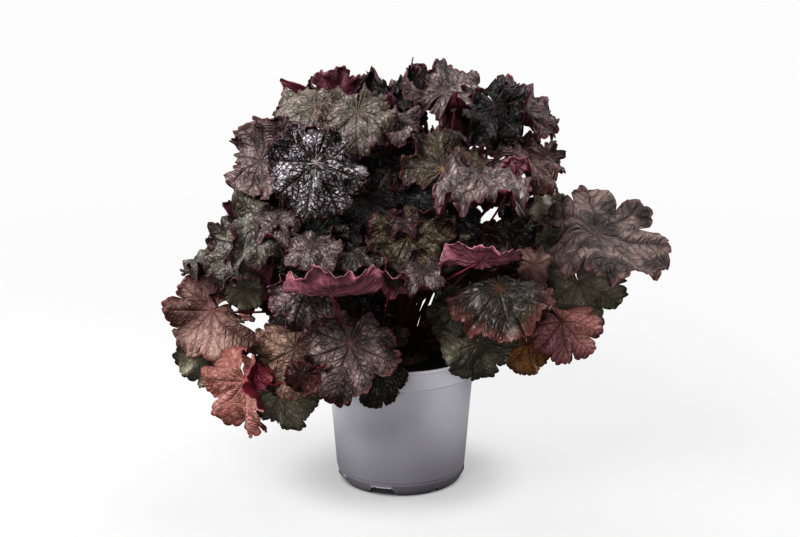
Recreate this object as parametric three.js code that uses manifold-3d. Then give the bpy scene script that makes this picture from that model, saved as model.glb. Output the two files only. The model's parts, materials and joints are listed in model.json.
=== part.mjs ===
// A potted heuchera: a round nursery pot, its soil, the woody crown and one solid per leaf.
// Millimetres, +Z up, origin at the middle of the pot's underside. Bearings are degrees
// counter-clockwise from +X, and the plant's front is bearing -90.
import * as THREE from "three";
import { mergeVertices } from "three/addons/utils/BufferGeometryUtils.js";
import Module from "manifold-3d";

const wasm = await Module();
wasm.setup();

// ---- Driving dimensions ----
const POT = {
  height: 117,
  rim: 65, // outer radius of the bead round the mouth
  bead: 3.5, // height of the bead
  band: 64.3, // outer radius of the plain band under the bead
  bandFoot: 100, // height of the band's lower edge
  shoulder: 63.5, // body radius just under the band
  waist: 56.6, // body radius just above the foot
  groove: 56, // radius in the groove over the foot
  grooveAt: 12.2, // height of that groove
  foot: 51, // radius where the pot stands
  footCurve: [
    [2.2, 1.6], // how far the side has come out from the foot, and at what height
    [3.9, 5],
  ],
  footRing: 1.6, // width of the ring that the pot stands on
  step: 0.8, // height of the ledge under the band
  wall: 1.3,
  lip: 2.2, // width of the bead's flat top
  floorTop: 11,
  floorThick: 1.8,
  segments: 40,
};
const SLOTS = {
  count: 7,
  first: -107, // bearing of the first slot; wide and small ones take turns from there
  wide: { foot: 25, top: 17, height: 7.5 },
  small: { foot: 7, top: 3, height: 4.5 },
};
const SOIL = { top: 109, slope: 2, gap: 0.35 };
const CROWN = { radius: 24, rise: 15, skirt: 1, steps: 6, gap: 0.3, buds: 60, lowestBud: 0.3 };
const BLADE = { thick: 1.2, hubThick: 3, rings: [0.34, 0.68, 1], ridge: 0.12, droop: 0.12 };
const PETIOLE = { radius: 1.5, sides: 5, steps: 5, embed: 1.7, leave: 0.35, arrive: 0.3 };
const CLEARANCE = 0.25; // least gap between a leaf and anything else

// Blade outline as spokes from the petiole's joint: degrees from the midrib, share of the length.
// Lobe tips and the notches between them take turns, and the last spoke is the edge of the cleft.
const HALF_OUTLINE = [
  [21, 0.81],
  [41, 0.94],
  [62, 0.74],
  [84, 0.87],
  [106, 0.67],
  [129, 0.77],
  [160, 0.55],
];
const SPOKES = [
  ...HALF_OUTLINE.map(([angle, share]) => [-angle, share]).reverse(),
  [0, 1],
  ...HALF_OUTLINE,
];

// ---- The leaves ----
// Each row: tint, bearing, reach and height of the blade's joint; the bearing that the upper side
// faces and how far it is lifted to the sky; the tip's turn from straight downhill; blade length;
// cup (edges up +, down -), fold along the midrib and wave of the margin.
const LEAVES = {
  upper: [
    ["black", -118, 142, 311, -100, 22, -10, 46, -0.2, 0, 0.05],
    ["taupe", -35, 43, 348, -85, 52, 140, 49, -0.25, 0.15, 0.06],
    ["taupe", -117, 78, 341, -95, 48, 0, 39, -0.2, 0.1, 0.05],
    ["olive", -157, 77, 338, -100, 58, -95, 48, -0.15, 0.2, 0.06],
    ["black", -32, 84, 343, -75, 32, 15, 38, -0.2, 0.1, 0.06],
    ["bronze", -29, 114, 314, -68, 62, 70, 42, -0.35, 0.1, 0.06],
    ["bronze", -152, 130, 299, -130, 20, -50, 40, -0.15, 0.15, 0.08],
    ["taupe", -8, 104, 333, -55, 66, 60, 41, -0.2, 0.2, 0.08],
    ["taupe", -97, 63, 334, -85, 50, 12, 34, -0.1, 0.2, 0.06],
    ["black", -130, 14, 346, -90, 66, 0, 33, 0.25, 0.2, 0.1],
    ["plum", 164, 56, 330, 80, 18, 180, 31, 0.1, 0.3, 0.08],
    ["black", -110, 26, 262, -92, 40, 5, 42, -0.15, 0.1, 0.08],
    ["taupe", 100, 50, 340, 95, 62, -15, 52, -0.2, 0.1, 0.05],
    ["olive", 150, 100, 318, 150, 45, 20, 50, -0.2, 0.1, 0.05],
    ["black", 62, 105, 315, 62, 45, -20, 52, -0.25, 0.1, 0.05],
    ["bronze", 110, 118, 300, 112, 38, 25, 52, -0.25, 0.1, 0.06],
  ],
  middle: [
    ["taupe", -61, 132, 299, -82, 72, 10, 48, -0.3, 0.1, 0.1],
    ["taupe", -60, 156, 212, -80, 54, 5, 50, -0.3, 0.1, 0.06],
    ["olive", -67, 94, 302, -85, 64, 150, 53, -0.1, 0.2, 0.05],
    ["sage", -87, 125, 250, -85, 28, 10, 42, -0.15, 0.15, 0.08],
    ["black", -121, 139, 248, -108, 32, -130, 40, -0.1, 0.1, 0.04],
    ["olive", -135, 155, 259, -115, 42, -40, 39, -0.3, 0.25, 0.08],
    ["olive", -149, 154, 232, -130, 42, -50, 39, -0.2, 0.1, 0.06],
    ["bronze", -24, 176, 240, -78, 50, 80, 71, -0.15, 0.2, 0.06],
    ["black", -107, 101, 272, -95, 52, -10, 36, -0.1, 0.2, 0.08],
    ["maroon", -43, 118, 247, -78, 18, 5, 42, -0.1, 0.1, 0.06],
    ["sage", -7, 127, 221, -85, 15, 175, 40, -0.1, 0.15, 0.06],
    ["maroon", 80, 42, 208, -90, 28, 0, 46, -0.1, 0.1, 0.06],
    ["taupe", -121, 147, 207, -100, 16, -20, 34, -0.15, 0.1, 0.06],
    ["plum", -110, 148, 212, 82, 40, 180, 38, 0.05, 0.1, 0.1],
    ["plum", -66, 141, 229, 95, 38, 180, 37, 0.05, 0.05, 0.1],
    ["olive", -166, 164, 213, -140, 62, -60, 33, -0.2, 0.1, 0.08],
    ["taupe", 170, 112, 280, 172, 40, -10, 48, -0.25, 0.1, 0.06],
    ["taupe", 24, 116, 282, 26, 42, 15, 46, -0.25, 0.1, 0.06],
    ["sage", 75, 148, 258, 74, 32, -20, 54, -0.2, 0.1, 0.06],
    ["black", 135, 150, 262, 134, 34, 15, 54, -0.25, 0.1, 0.05],
    ["olive", 44, 140, 236, 44, 28, 20, 50, -0.2, 0.1, 0.06],
    ["bronze", 105, 160, 225, 104, 24, -10, 54, -0.2, 0.1, 0.06],
    ["taupe", 155, 140, 222, 155, 26, 10, 50, -0.2, 0.1, 0.06],
  ],
  lower: [
    ["taupe", -108, 131, 174, -100, 16, -20, 55, -0.2, 0.1, 0.06],
    ["bronze", -160, 168, 181, -108, 20, -42, 55, -0.15, 0.1, 0.06],
    ["salmon", -143, 156, 120, -140, 6, 6, 55, -0.15, 0.45, 0.06],
    ["salmon", -34, 160, 170, -75, 24, 40, 46, -0.2, 0.1, 0.08],
    ["sage", -58, 120, 155, -86, 30, 15, 43, -0.2, 0.1, 0.06],
    ["sage", -13, 155, 188, -80, 8, 25, 45, -0.15, 0.15, 0.05],
    ["black", -102, 94, 128, -96, 28, -10, 37, -0.15, 0.1, 0.1],
    ["bronze", -129, 142, 152, -105, 10, -10, 41, -0.15, 0.4, 0.06],
    ["sage", -171, 163, 131, -102, 18, -48, 42, -0.1, 0.1, 0.06],
    ["golden", -29, 122, 141, -80, 8, 10, 29, -0.15, 0.1, 0.08],
    ["sage", -55, 76, 166, -90, 26, 0, 34, -0.1, 0.1, 0.06],
    ["sage", -145, 122, 103, -100, 6, 12, 35, -0.15, 0.1, 0.06],
    ["plum", -155, 118, 191, 100, 24, 100, 31, 0.05, 0.1, 0.06],
    ["sage", 20, 132, 172, 20, 12, -15, 50, -0.15, 0.1, 0.06],
    ["bronze", 52, 150, 178, 52, 14, 15, 58, -0.2, 0.1, 0.06],
    ["black", 88, 138, 168, 88, 14, 10, 56, -0.2, 0.1, 0.06],
    ["sage", 124, 146, 160, 124, 10, -15, 56, -0.15, 0.1, 0.06],
    ["salmon", 160, 150, 165, 160, 12, 15, 56, -0.2, 0.1, 0.06],
  ],
};

const TINTS = {
  black: { color: 0x2b2427, roughness: 0.3 },
  taupe: { color: 0x6a5a57, roughness: 0.42 },
  bronze: { color: 0x6f4a45, roughness: 0.45 },
  salmon: { color: 0x955f57, roughness: 0.5 },
  olive: { color: 0x57523f, roughness: 0.42 },
  sage: { color: 0x4b5848, roughness: 0.45 },
  golden: { color: 0x6d5a34, roughness: 0.5 },
  maroon: { color: 0x3b2024, roughness: 0.5 },
  plum: { color: 0x7a3552, roughness: 0.5 },
};

// ---- Helpers ----
const rad = THREE.MathUtils.degToRad;
const UP = new THREE.Vector3(0, 0, 1);

/** A point from its bearing, reach and height. */
function polar(bearing, reach, height) {
  return new THREE.Vector3(reach * Math.cos(rad(bearing)), reach * Math.sin(rad(bearing)), height);
}

/** A closed geometry as a manifold solid, keeping only its merged positions. */
function solidOf(geometry) {
  const bare = new THREE.BufferGeometry().setAttribute("position", geometry.getAttribute("position"));
  if (geometry.index) bare.setIndex(geometry.index);
  const merged = mergeVertices(bare, 1e-4);
  return new wasm.Manifold(
    new wasm.Mesh({
      numProp: 3,
      vertProperties: new Float32Array(merged.attributes.position.array),
      triVerts: new Uint32Array(merged.index.array),
    }),
  );
}

/** A manifold solid as a geometry with face normals. */
function geometryOf(solid) {
  const { vertProperties, triVerts, numProp } = solid.getMesh();
  const positions = new Float32Array((vertProperties.length / numProp) * 3);
  for (let i = 0; i < positions.length / 3; i++) {
    positions.set(vertProperties.subarray(i * numProp, i * numProp + 3), i * 3);
  }
  const geometry = new THREE.BufferGeometry();
  geometry.setAttribute("position", new THREE.BufferAttribute(positions, 3));
  geometry.setIndex(new THREE.BufferAttribute(new Uint32Array(triVerts), 1));
  geometry.computeVertexNormals();
  return geometry;
}

/** A surface of revolution about Z from [radius, height] pairs that run up the outside. */
function lathe(profile) {
  const points = profile.map(([radius, height]) => new THREE.Vector2(radius, height));
  return new THREE.LatheGeometry(points, POT.segments).rotateX(Math.PI / 2);
}

function material({ color, roughness }) {
  return new THREE.MeshStandardMaterial({ color, roughness, metalness: 0, flatShading: true });
}

const plant = new THREE.Group();

function addPart(name, solid, look) {
  const mesh = new THREE.Mesh(geometryOf(solid), material(look));
  mesh.name = name;
  plant.add(mesh);
}

// ---- Pot ----
/** Radius of the pot's outside at a height between the foot groove and the band. */
function bodyRadius(height) {
  const share = (height - POT.grooveAt) / (POT.bandFoot - POT.grooveAt);
  return POT.waist + share * (POT.shoulder - POT.waist);
}

/** Radius of the pot's inside, which widens a little more in the band than in the body. */
function innerRadius(height) {
  if (height < POT.bandFoot) return bodyRadius(height) - POT.wall;
  const share = (height - POT.bandFoot) / (POT.height - POT.bandFoot);
  const atBand = bodyRadius(POT.bandFoot) - POT.wall;
  return atBand + share * (POT.rim - POT.lip - atBand);
}

function potShell() {
  const outside = [
    [POT.foot, 0],
    ...POT.footCurve.map(([out, height]) => [POT.foot + out, height]),
    [POT.groove, POT.grooveAt - 1],
    [POT.groove, POT.grooveAt],
    [POT.waist, POT.grooveAt + 1],
    [POT.shoulder, POT.bandFoot - POT.step],
    [POT.band, POT.bandFoot],
    [POT.band, POT.height - POT.bead],
    [POT.rim, POT.height - POT.bead + POT.step],
    [POT.rim, POT.height],
  ];
  const inside = [
    [innerRadius(POT.height), POT.height],
    [innerRadius(POT.bandFoot), POT.bandFoot],
    [innerRadius(POT.floorTop), POT.floorTop],
    [0, POT.floorTop],
    [0, POT.floorTop - POT.floorThick],
    [POT.foot, POT.floorTop - POT.floorThick],
    [POT.foot - POT.footRing, 0],
    [POT.foot, 0],
  ];
  return solidOf(lathe([...outside, ...inside]));
}

/** A trapezoid prism that cuts one slot through the foot, pointing out along its bearing. */
function slotCutter(bearing, { foot, top, height }) {
  const outline = new THREE.Shape([
    new THREE.Vector2(-foot / 2, -1),
    new THREE.Vector2(foot / 2, -1),
    new THREE.Vector2(top / 2, height),
    new THREE.Vector2(-top / 2, height),
  ]);
  const depth = 2 * (POT.waist - POT.foot + POT.footRing);
  const prism = new THREE.ExtrudeGeometry(outline, { depth, bevelEnabled: false });
  prism.rotateX(Math.PI / 2).translate(0, POT.waist + 2 + depth / 4, 0).rotateZ(rad(bearing - 90));
  return solidOf(prism);
}

function pot() {
  let shell = potShell();
  for (let i = 0; i < SLOTS.count; i++) {
    const bearing = SLOTS.first + (i * 360) / SLOTS.count;
    shell = shell.subtract(slotCutter(bearing, i % 2 ? SLOTS.small : SLOTS.wide));
  }
  return shell;
}

// ---- Soil and crown ----
function soil() {
  const edge = (height) => [innerRadius(height) - SOIL.gap, height];
  const foot = POT.floorTop + SOIL.gap;
  return solidOf(
    lathe([
      [0, foot],
      edge(foot),
      edge(POT.bandFoot),
      edge(SOIL.top - SOIL.slope),
      [CROWN.radius + 6, SOIL.top],
      [0, SOIL.top],
    ]),
  );
}

const CROWN_FOOT = SOIL.top + CROWN.gap;

/** Height of the crown's dome at a share of its rise. */
function domeHeight(share) {
  return CROWN_FOOT + CROWN.skirt + CROWN.rise * share;
}

function crown() {
  const profile = [
    [0, CROWN_FOOT],
    [CROWN.radius, CROWN_FOOT],
  ];
  for (let i = 0; i < CROWN.steps; i++) {
    const angle = (i / CROWN.steps) * (Math.PI / 2);
    profile.push([CROWN.radius * Math.cos(angle), domeHeight(Math.sin(angle))]);
  }
  profile.push([0, domeHeight(1)]);
  return solidOf(lathe(profile));
}

/** Bud k on the crown: its place just off the surface and the way a petiole leaves it. */
function bud(k) {
  const golden = Math.PI * (3 - Math.sqrt(5));
  const lift = CROWN.lowestBud + ((1 - CROWN.lowestBud) * (k + 0.5)) / CROWN.buds;
  const spread = Math.sqrt(1 - lift * lift);
  const ray = new THREE.Vector3(spread * Math.cos(k * golden), spread * Math.sin(k * golden), lift);
  const normal = new THREE.Vector3(ray.x / CROWN.radius, ray.y / CROWN.radius, ray.z / CROWN.rise);
  normal.normalize();
  const leave = normal.clone().add(UP).normalize();
  const place = new THREE.Vector3(ray.x * CROWN.radius, ray.y * CROWN.radius, domeHeight(ray.z));
  const slant = Math.sqrt(Math.max(0, 1 - leave.dot(normal) ** 2));
  place.addScaledVector(normal, CROWN.gap + PETIOLE.radius * slant);
  return { place, ray, leave };
}

// ---- Leaves ----
/** Height of the blade over its own plane, at share rho along a spoke at the given angle. */
function swell(leaf, angle, rho, x, y) {
  const { size, cup, fold, wave, phase } = leaf;
  const ridge = BLADE.ridge * size;
  const creased = fold * (Math.hypot(y, ridge) - ridge);
  const droop = x > 0 ? (-BLADE.droop * x * x) / size : 0;
  const ruffle = wave * size * rho * rho * Math.sin(3 * angle + phase);
  return (cup * (x * x + y * y)) / size + creased + droop + ruffle;
}

/** The blade as a closed shell: rings of points on its spokes, doubled below by its thickness. */
function blade(leaf) {
  const { joint, normal, midrib, side, size } = leaf;
  const count = SPOKES.length;
  const at = (ring, spoke) => 1 + ring * count + spoke;
  const top = [joint.clone()];
  for (const rho of BLADE.rings) {
    for (const [degrees, share] of SPOKES) {
      const angle = rad(degrees);
      const reach = rho * share * size;
      const [x, y] = [reach * Math.cos(angle), reach * Math.sin(angle)];
      const point = joint.clone().addScaledVector(midrib, x).addScaledVector(side, y);
      top.push(point.addScaledVector(normal, swell(leaf, angle, rho, x, y)));
    }
  }

  const upper = [];
  for (let i = 0; i < count; i++) upper.push([0, at(0, i), at(0, (i + 1) % count)]);
  for (let ring = 0; ring + 1 < BLADE.rings.length; ring++) {
    for (let i = 0; i + 1 < count; i++) {
      upper.push([at(ring, i), at(ring + 1, i), at(ring + 1, i + 1)]);
      upper.push([at(ring, i), at(ring + 1, i + 1), at(ring, i + 1)]);
    }
  }
  const normals = top.map(() => new THREE.Vector3());
  for (const [a, b, c] of upper) {
    const face = top[b].clone().sub(top[a]).cross(top[c].clone().sub(top[a]));
    for (const corner of [a, b, c]) normals[corner].add(face);
  }
  const bottom = top.map((point, i) =>
    point.clone().addScaledVector(normals[i].normalize(), i ? -BLADE.thick : -BLADE.hubThick),
  );

  // The margin, once round: out along one edge of the cleft, round the lobes and back in.
  const last = BLADE.rings.length - 1;
  const margin = [];
  for (let ring = 0; ring < last; ring++) margin.push(at(ring, 0));
  for (let i = 0; i < count; i++) margin.push(at(last, i));
  for (let ring = last - 1; ring >= 0; ring--) margin.push(at(ring, count - 1));

  const under = top.length;
  const faces = [...upper, ...upper.map(([a, b, c]) => [a + under, c + under, b + under])];
  margin.forEach((a, i) => {
    const b = margin[(i + 1) % margin.length];
    faces.push([a, a + under, b + under], [a, b + under, b]);
  });
  const geometry = new THREE.BufferGeometry().setFromPoints([...top, ...bottom]);
  geometry.setIndex(faces.flat());
  return solidOf(geometry);
}

/** The petiole: a tube from its bud, out of the crown and up into the underside of the joint. */
function petiole(leaf, bow) {
  const { joint, normal, bud: from } = leaf;
  const end = joint.clone().addScaledVector(normal, -PETIOLE.embed);
  const span = end.clone().sub(from.place);
  const length = span.length();
  span.normalize();
  const bowed = span.clone().cross(UP).normalize().multiplyScalar(bow[0]).addScaledVector(UP, bow[1]);
  // It meets the blade from behind, and a blade that looks back at the crown from below.
  const outward = normal.dot(span) > 0;
  const arrive = outward ? normal.clone().multiplyScalar(1.8).add(span) : normal.clone().add(UP);
  arrive.normalize();
  const path = new THREE.CubicBezierCurve3(
    from.place,
    from.place.clone().addScaledVector(from.leave, PETIOLE.leave * length).add(bowed),
    end.clone().addScaledVector(arrive, -PETIOLE.arrive * length).add(bowed),
    end,
  );
  const section = new THREE.Shape();
  for (let i = 0; i < PETIOLE.sides; i++) {
    const angle = (i / PETIOLE.sides) * 2 * Math.PI;
    const corner = [PETIOLE.radius * Math.cos(angle), PETIOLE.radius * Math.sin(angle)];
    if (i) section.lineTo(...corner);
    else section.moveTo(...corner);
  }
  section.closePath();
  return solidOf(
    new THREE.ExtrudeGeometry(section, { steps: PETIOLE.steps, bevelEnabled: false, extrudePath: path }),
  );
}

/** A row of the list as a leaf in space, moved a little: [bearing, reach, height, lift]. */
function posed(row, nudge) {
  const [tint, bearing, reach, height, faces, lifted, turn, size, cup, fold, wave] = row.values;
  const joint = polar(bearing + nudge[0], reach + nudge[1], height + nudge[2]);
  const lift = rad(lifted + nudge[3]);
  const normal = polar(faces, Math.cos(lift), Math.sin(lift));
  const downhill = polar(faces, Math.sin(lift), -Math.cos(lift));
  const level = new THREE.Vector3(-Math.sin(rad(faces)), Math.cos(rad(faces)), 0);
  const midrib = downhill.multiplyScalar(Math.cos(rad(turn))).addScaledVector(level, Math.sin(rad(turn)));
  const side = normal.clone().cross(midrib);
  const phase = bearing + 0.7 * turn;
  return { tint, joint, normal, midrib, side, size, cup, fold, wave, phase, bud: row.bud };
}

/** All combinations of one value from each list, mildest first by the sum of value over unit. */
function mildestFirst(lists, units) {
  const grow = (rows, values) => rows.flatMap((row) => values.map((value) => [...row, value]));
  const cost = (row) => row.reduce((sum, value, i) => sum + Math.abs(value) / units[i], 0);
  return lists.reduce(grow, [[]]).sort((a, b) => cost(a) - cost(b));
}

// Moves of a leaf's bearing, reach, height and lift, and bows of its petiole, sideways and up.
const NUDGES = mildestFirst(
  [[0, -3, 3, -6, 6, -9, 9], [0, -6, 6, -12, 12, -18], [0, 6, -6, 12, -12, 18], [0, -10, 10, 20]],
  [2, 4, 4, 7],
);
const BOWS = mildestFirst([[0, 12, -12, 26, -26, 42, -42], [0, 14, -14, 28]], [25, 20]);

/** Whether two boxes lie within the clearance of each other. */
function near(a, b) {
  const apart = (low, high, axis) => low.min[axis] > high.max[axis] + CLEARANCE;
  return [0, 1, 2].every((axis) => !apart(a, b, axis) && !apart(b, a, axis));
}

/** The leaf of a row at the first nudge and bow that the test calls clear, or null. */
function firstClear(row, isClear) {
  for (const nudge of NUDGES) {
    const leaf = posed(row, nudge);
    const plate = blade(leaf);
    if (!isClear(plate)) continue;
    for (const bow of BOWS) {
      const stalk = petiole(leaf, bow);
      if (isClear(stalk)) return plate.add(stalk);
    }
  }
  return null;
}

function growLeaves(fixed) {
  const rows = Object.entries(LEAVES).flatMap(([tier, list]) =>
    list.map((values, i) => ({ name: `leaf_${tier}_${String(i + 1).padStart(2, "0")}`, values })),
  );

  // Each leaf takes the free bud nearest its own heading, the lowest leaves first.
  const heart = new THREE.Vector3(0, 0, CROWN_FOOT);
  const free = new Set(Array.from({ length: CROWN.buds }, (_, k) => k));
  const byHeight = [...rows].sort((a, b) => a.values[3] - b.values[3]);
  for (const row of byHeight) {
    const heading = polar(row.values[1], row.values[2], row.values[3]).sub(heart).normalize();
    const fit = (k) => bud(k).ray.dot(heading);
    const best = [...free].reduce((a, b) => (fit(b) > fit(a) ? b : a));
    free.delete(best);
    row.bud = bud(best);
  }

  // In the order of the list, each leaf takes the mildest move that keeps its blade clear of the
  // rest, and then the mildest bow that keeps its petiole clear too.
  const placed = fixed.map((solid) => ({ solid, box: solid.boundingBox() }));
  const isClear = (solid) => {
    const box = solid.boundingBox();
    const neighbours = placed.filter((other) => near(box, other.box));
    return neighbours.every((other) => other.solid.minGap(solid, 2 * CLEARANCE) >= CLEARANCE);
  };
  for (const row of rows) {
    const solid = firstClear(row, isClear);
    if (!solid) throw new Error(`${row.name} has no clear place`);
    placed.push({ solid, box: solid.boundingBox() });
    addPart(row.name, solid, TINTS[row.values[0]]);
  }
}

const potSolid = pot();
const soilSolid = soil();
const crownSolid = crown();
addPart("pot", potSolid, { color: 0x84848a, roughness: 0.45 });
addPart("potting_soil", soilSolid, { color: 0x17120f, roughness: 0.95 });
addPart("crown", crownSolid, { color: 0x3a2320, roughness: 0.8 });
growLeaves([potSolid, soilSolid, crownSolid]);

export default plant;
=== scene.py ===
"""A potted heuchera: quilted, lobed leaves on petioles, their crown, the soil and the pot.

Metres, +Z up, the plant's front towards -Y. Every leaf takes its place, pose and broad shape
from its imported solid, and adds the toothed margin, veins, quilting, ruffles and rolled edges.
"""

import json
import logging
import math
from dataclasses import dataclass, field, replace
from enum import Enum

import bpy
import numpy as np
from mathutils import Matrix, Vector


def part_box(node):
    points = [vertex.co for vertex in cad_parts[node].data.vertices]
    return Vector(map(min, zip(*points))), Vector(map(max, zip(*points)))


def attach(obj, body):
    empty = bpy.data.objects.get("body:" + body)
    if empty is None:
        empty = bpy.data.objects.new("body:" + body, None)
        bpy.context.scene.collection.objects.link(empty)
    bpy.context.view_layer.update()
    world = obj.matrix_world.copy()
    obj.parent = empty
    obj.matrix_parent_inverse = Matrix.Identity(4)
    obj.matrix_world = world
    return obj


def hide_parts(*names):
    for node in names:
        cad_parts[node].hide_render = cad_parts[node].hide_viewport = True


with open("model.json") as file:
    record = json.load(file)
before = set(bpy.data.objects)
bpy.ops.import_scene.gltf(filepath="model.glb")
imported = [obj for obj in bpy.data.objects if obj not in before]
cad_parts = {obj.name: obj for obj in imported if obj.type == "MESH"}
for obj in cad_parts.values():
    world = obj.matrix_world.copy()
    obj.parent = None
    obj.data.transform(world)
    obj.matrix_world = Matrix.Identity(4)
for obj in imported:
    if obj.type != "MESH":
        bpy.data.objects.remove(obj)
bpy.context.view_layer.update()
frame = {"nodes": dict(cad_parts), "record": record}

Array = np.ndarray
Tint = tuple[int, int, int]
Colour = tuple[float, float, float]

LOG = logging.getLogger("heuchera")
MM = 0.001
SEED = 20
UP = np.array([0.0, 0.0, 1.0])


# ---- Small helpers ----
def srgb(red: int, green: int, blue: int) -> Colour:
    """Linear colour of an sRGB colour that is given in steps of 255.

    Args:
        red: its red, from 0 to 255.
        green: its green.
        blue: its blue.

    Returns:
        Each part c, from 0 to 1, becomes c / 12.92 up to 0.04045 and ((c + 0.055) / 1.055)^2.4
        above it.
    """
    return tuple(
        c / 12.92 if c <= 0.04045 else ((c + 0.055) / 1.055) ** 2.4
        for c in (red / 255, green / 255, blue / 255)
    )


def unit(vectors: Array) -> Array:
    """The same vectors at length one."""
    return vectors / np.linalg.norm(vectors, axis=-1, keepdims=True)


def ease(low: float, high: float, values: Array) -> Array:
    """Smooth step from 0 at low to 1 at high."""
    share = np.clip((values - low) / (high - low), 0, 1)
    return share * share * (3 - 2 * share)


def polar(bearing: float, reach: float, height: float) -> Array:
    """A point from its bearing in degrees, its reach and its height."""
    angle = math.radians(bearing)
    return np.array([reach * math.cos(angle), reach * math.sin(angle), height])


def ripples(points: Array, waves: int, length: float, rng: np.random.Generator) -> Array:
    """Smooth random relief: the mean of plane waves with random headings and phases.

    Args:
        points: positions, with the coordinates on the last axis.
        waves: how many waves are added.
        length: typical wave length.
        rng: source of the headings and phases.

    Returns:
        Relief of about -1 to 1 at each point.
    """
    headings = unit(rng.normal(size=(waves, points.shape[-1])))
    pace = 2 * np.pi / (length * rng.uniform(0.6, 1.6, waves))
    phases = rng.uniform(0, 2 * np.pi, waves)
    return np.sin(points @ (headings * pace[:, None]).T + phases).mean(-1) * math.sqrt(waves) * 0.7


# ---- Shader graphs ----
class Wire:
    """A shader socket that joins in Python arithmetic: each operation adds a Math node."""

    def __init__(self, graph: "Graph", socket: bpy.types.NodeSocket) -> None:
        """Keeps the socket and the graph that it belongs to."""
        self.graph = graph
        self.socket = socket

    def _math(self, operation: str, *operands: "Wire | float") -> "Wire":
        """A Math node of the operation on the operands."""
        return self.graph.node("ShaderNodeMath", {"operation": operation}, dict(enumerate(operands)))

    def __add__(self, other: "Wire | float") -> "Wire":
        """Sum."""
        return self._math("ADD", self, other)

    def __sub__(self, other: "Wire | float") -> "Wire":
        """Difference."""
        return self._math("SUBTRACT", self, other)

    def __rsub__(self, other: float) -> "Wire":
        """Difference from a number."""
        return self._math("SUBTRACT", other, self)

    def __mul__(self, other: "Wire | float") -> "Wire":
        """Product."""
        return self._math("MULTIPLY", self, other)

    def __pow__(self, other: float) -> "Wire":
        """Power."""
        return self._math("POWER", self, other)

    def __abs__(self) -> "Wire":
        """Size without sign."""
        return self._math("ABSOLUTE", self)

    __radd__ = __add__
    __rmul__ = __mul__

    def fraction(self) -> "Wire":
        """What is left after the whole number below."""
        return self._math("FRACT", self)

    def larger(self, other: "Wire | float") -> "Wire":
        """The larger of the two."""
        return self._math("MAXIMUM", self, other)

    def part(self, axis: int) -> "Wire":
        """One coordinate of a vector: 0 for X, 1 for Y and 2 for Z."""
        return self.graph.node("ShaderNodeSeparateXYZ", None, {0: self}, axis)

    def ease(self, low: float, high: float) -> "Wire":
        """Smooth step from 0 at low to 1 at high."""
        return self.graph.node(
            "ShaderNodeMapRange",
            {"interpolation_type": "SMOOTHSTEP"},
            {"Value": self, "From Min": low, "From Max": high},
        )


class Graph:
    """The node tree of one material, which ends in one Principled shader."""

    def __init__(self, name: str) -> None:
        """Makes an empty material of that name.

        Args:
            name: name of the material.
        """
        self.material = bpy.data.materials.new(name)
        self.material.use_nodes = True
        self.tree = self.material.node_tree
        self.tree.nodes.clear()

    def node(
        self,
        kind: str,
        settings: dict[str, object] | None = None,
        inputs: "dict[str | int, Wire | float | tuple] | None" = None,
        output: int | str = 0,
    ) -> Wire:
        """Adds any node.

        Args:
            kind: the node's type.
            settings: its properties, set first.
            inputs: a value or a wire for each of its sockets.
            output: which of its outputs is wanted.

        Returns:
            The wanted output.
        """
        made = self.tree.nodes.new(kind)
        for name, value in (settings or {}).items():
            setattr(made, name, value)
        for name, value in (inputs or {}).items():
            if isinstance(value, Wire):
                self.tree.links.new(value.socket, made.inputs[name])
            else:
                made.inputs[name].default_value = value
        return Wire(self, made.outputs[output])

    def place(self) -> Wire:
        """Position on the piece."""
        return self.node("ShaderNodeTexCoord", None, None, "Object")

    def marks(self) -> Wire:
        """The marks that a shell gives its points."""
        return self.node("ShaderNodeAttribute", {"attribute_name": "marks"}, None, "Vector")

    def mix(self, factor: "Wire | float", first: "Wire | Colour", second: "Wire | Colour") -> Wire:
        """Colour that goes from the first to the second by the factor.

        Args:
            factor: share of the second colour.
            first: colour at 0.
            second: colour at 1.

        Returns:
            The mixed colour.
        """
        factor_at, first_at, second_at, result_at = 0, 6, 7, 2
        ends = {first_at: first, second_at: second}
        inputs = {k: v if isinstance(v, Wire) else (*v, 1.0) for k, v in ends.items()}
        inputs[factor_at] = factor
        return self.node("ShaderNodeMix", {"data_type": "RGBA"}, inputs, result_at)

    def noise(self, vector: Wire, scale: float, detail: float = 3.0, rough: float = 0.5) -> Wire:
        """Noise of about 0 to 1 over the vector."""
        inputs = {"Vector": vector, "Scale": scale, "Detail": detail, "Roughness": rough}
        return self.node("ShaderNodeTexNoise", None, inputs)

    def cell_edges(self, vector: Wire, scale: float) -> Wire:
        """Distance to the nearest edge between random cells."""
        settings, inputs = {"feature": "DISTANCE_TO_EDGE"}, {"Vector": vector, "Scale": scale}
        return self.node("ShaderNodeTexVoronoi", settings, inputs, "Distance")

    def bump(self, height: Wire, strength: float, distance: float) -> Wire:
        """Normal that follows a height."""
        inputs = {"Height": height, "Strength": strength, "Distance": distance}
        return self.node("ShaderNodeBump", None, inputs)

    def finish(self, **sockets: "Wire | float | Colour") -> bpy.types.Material:
        """Ends the tree in a Principled shader.

        Args:
            **sockets: its inputs by name, with _ in place of each space.

        Returns:
            The material.
        """
        inputs = {name.replace("_", " "): value for name, value in sockets.items()}
        colour = inputs["Base Color"]
        inputs["Base Color"] = colour if isinstance(colour, Wire) else (*colour, 1.0)
        shader = self.node("ShaderNodeBsdfPrincipled", None, inputs)
        end = self.tree.nodes.new("ShaderNodeOutputMaterial")
        self.tree.links.new(shader.socket, end.inputs["Surface"])
        return self.material


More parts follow.
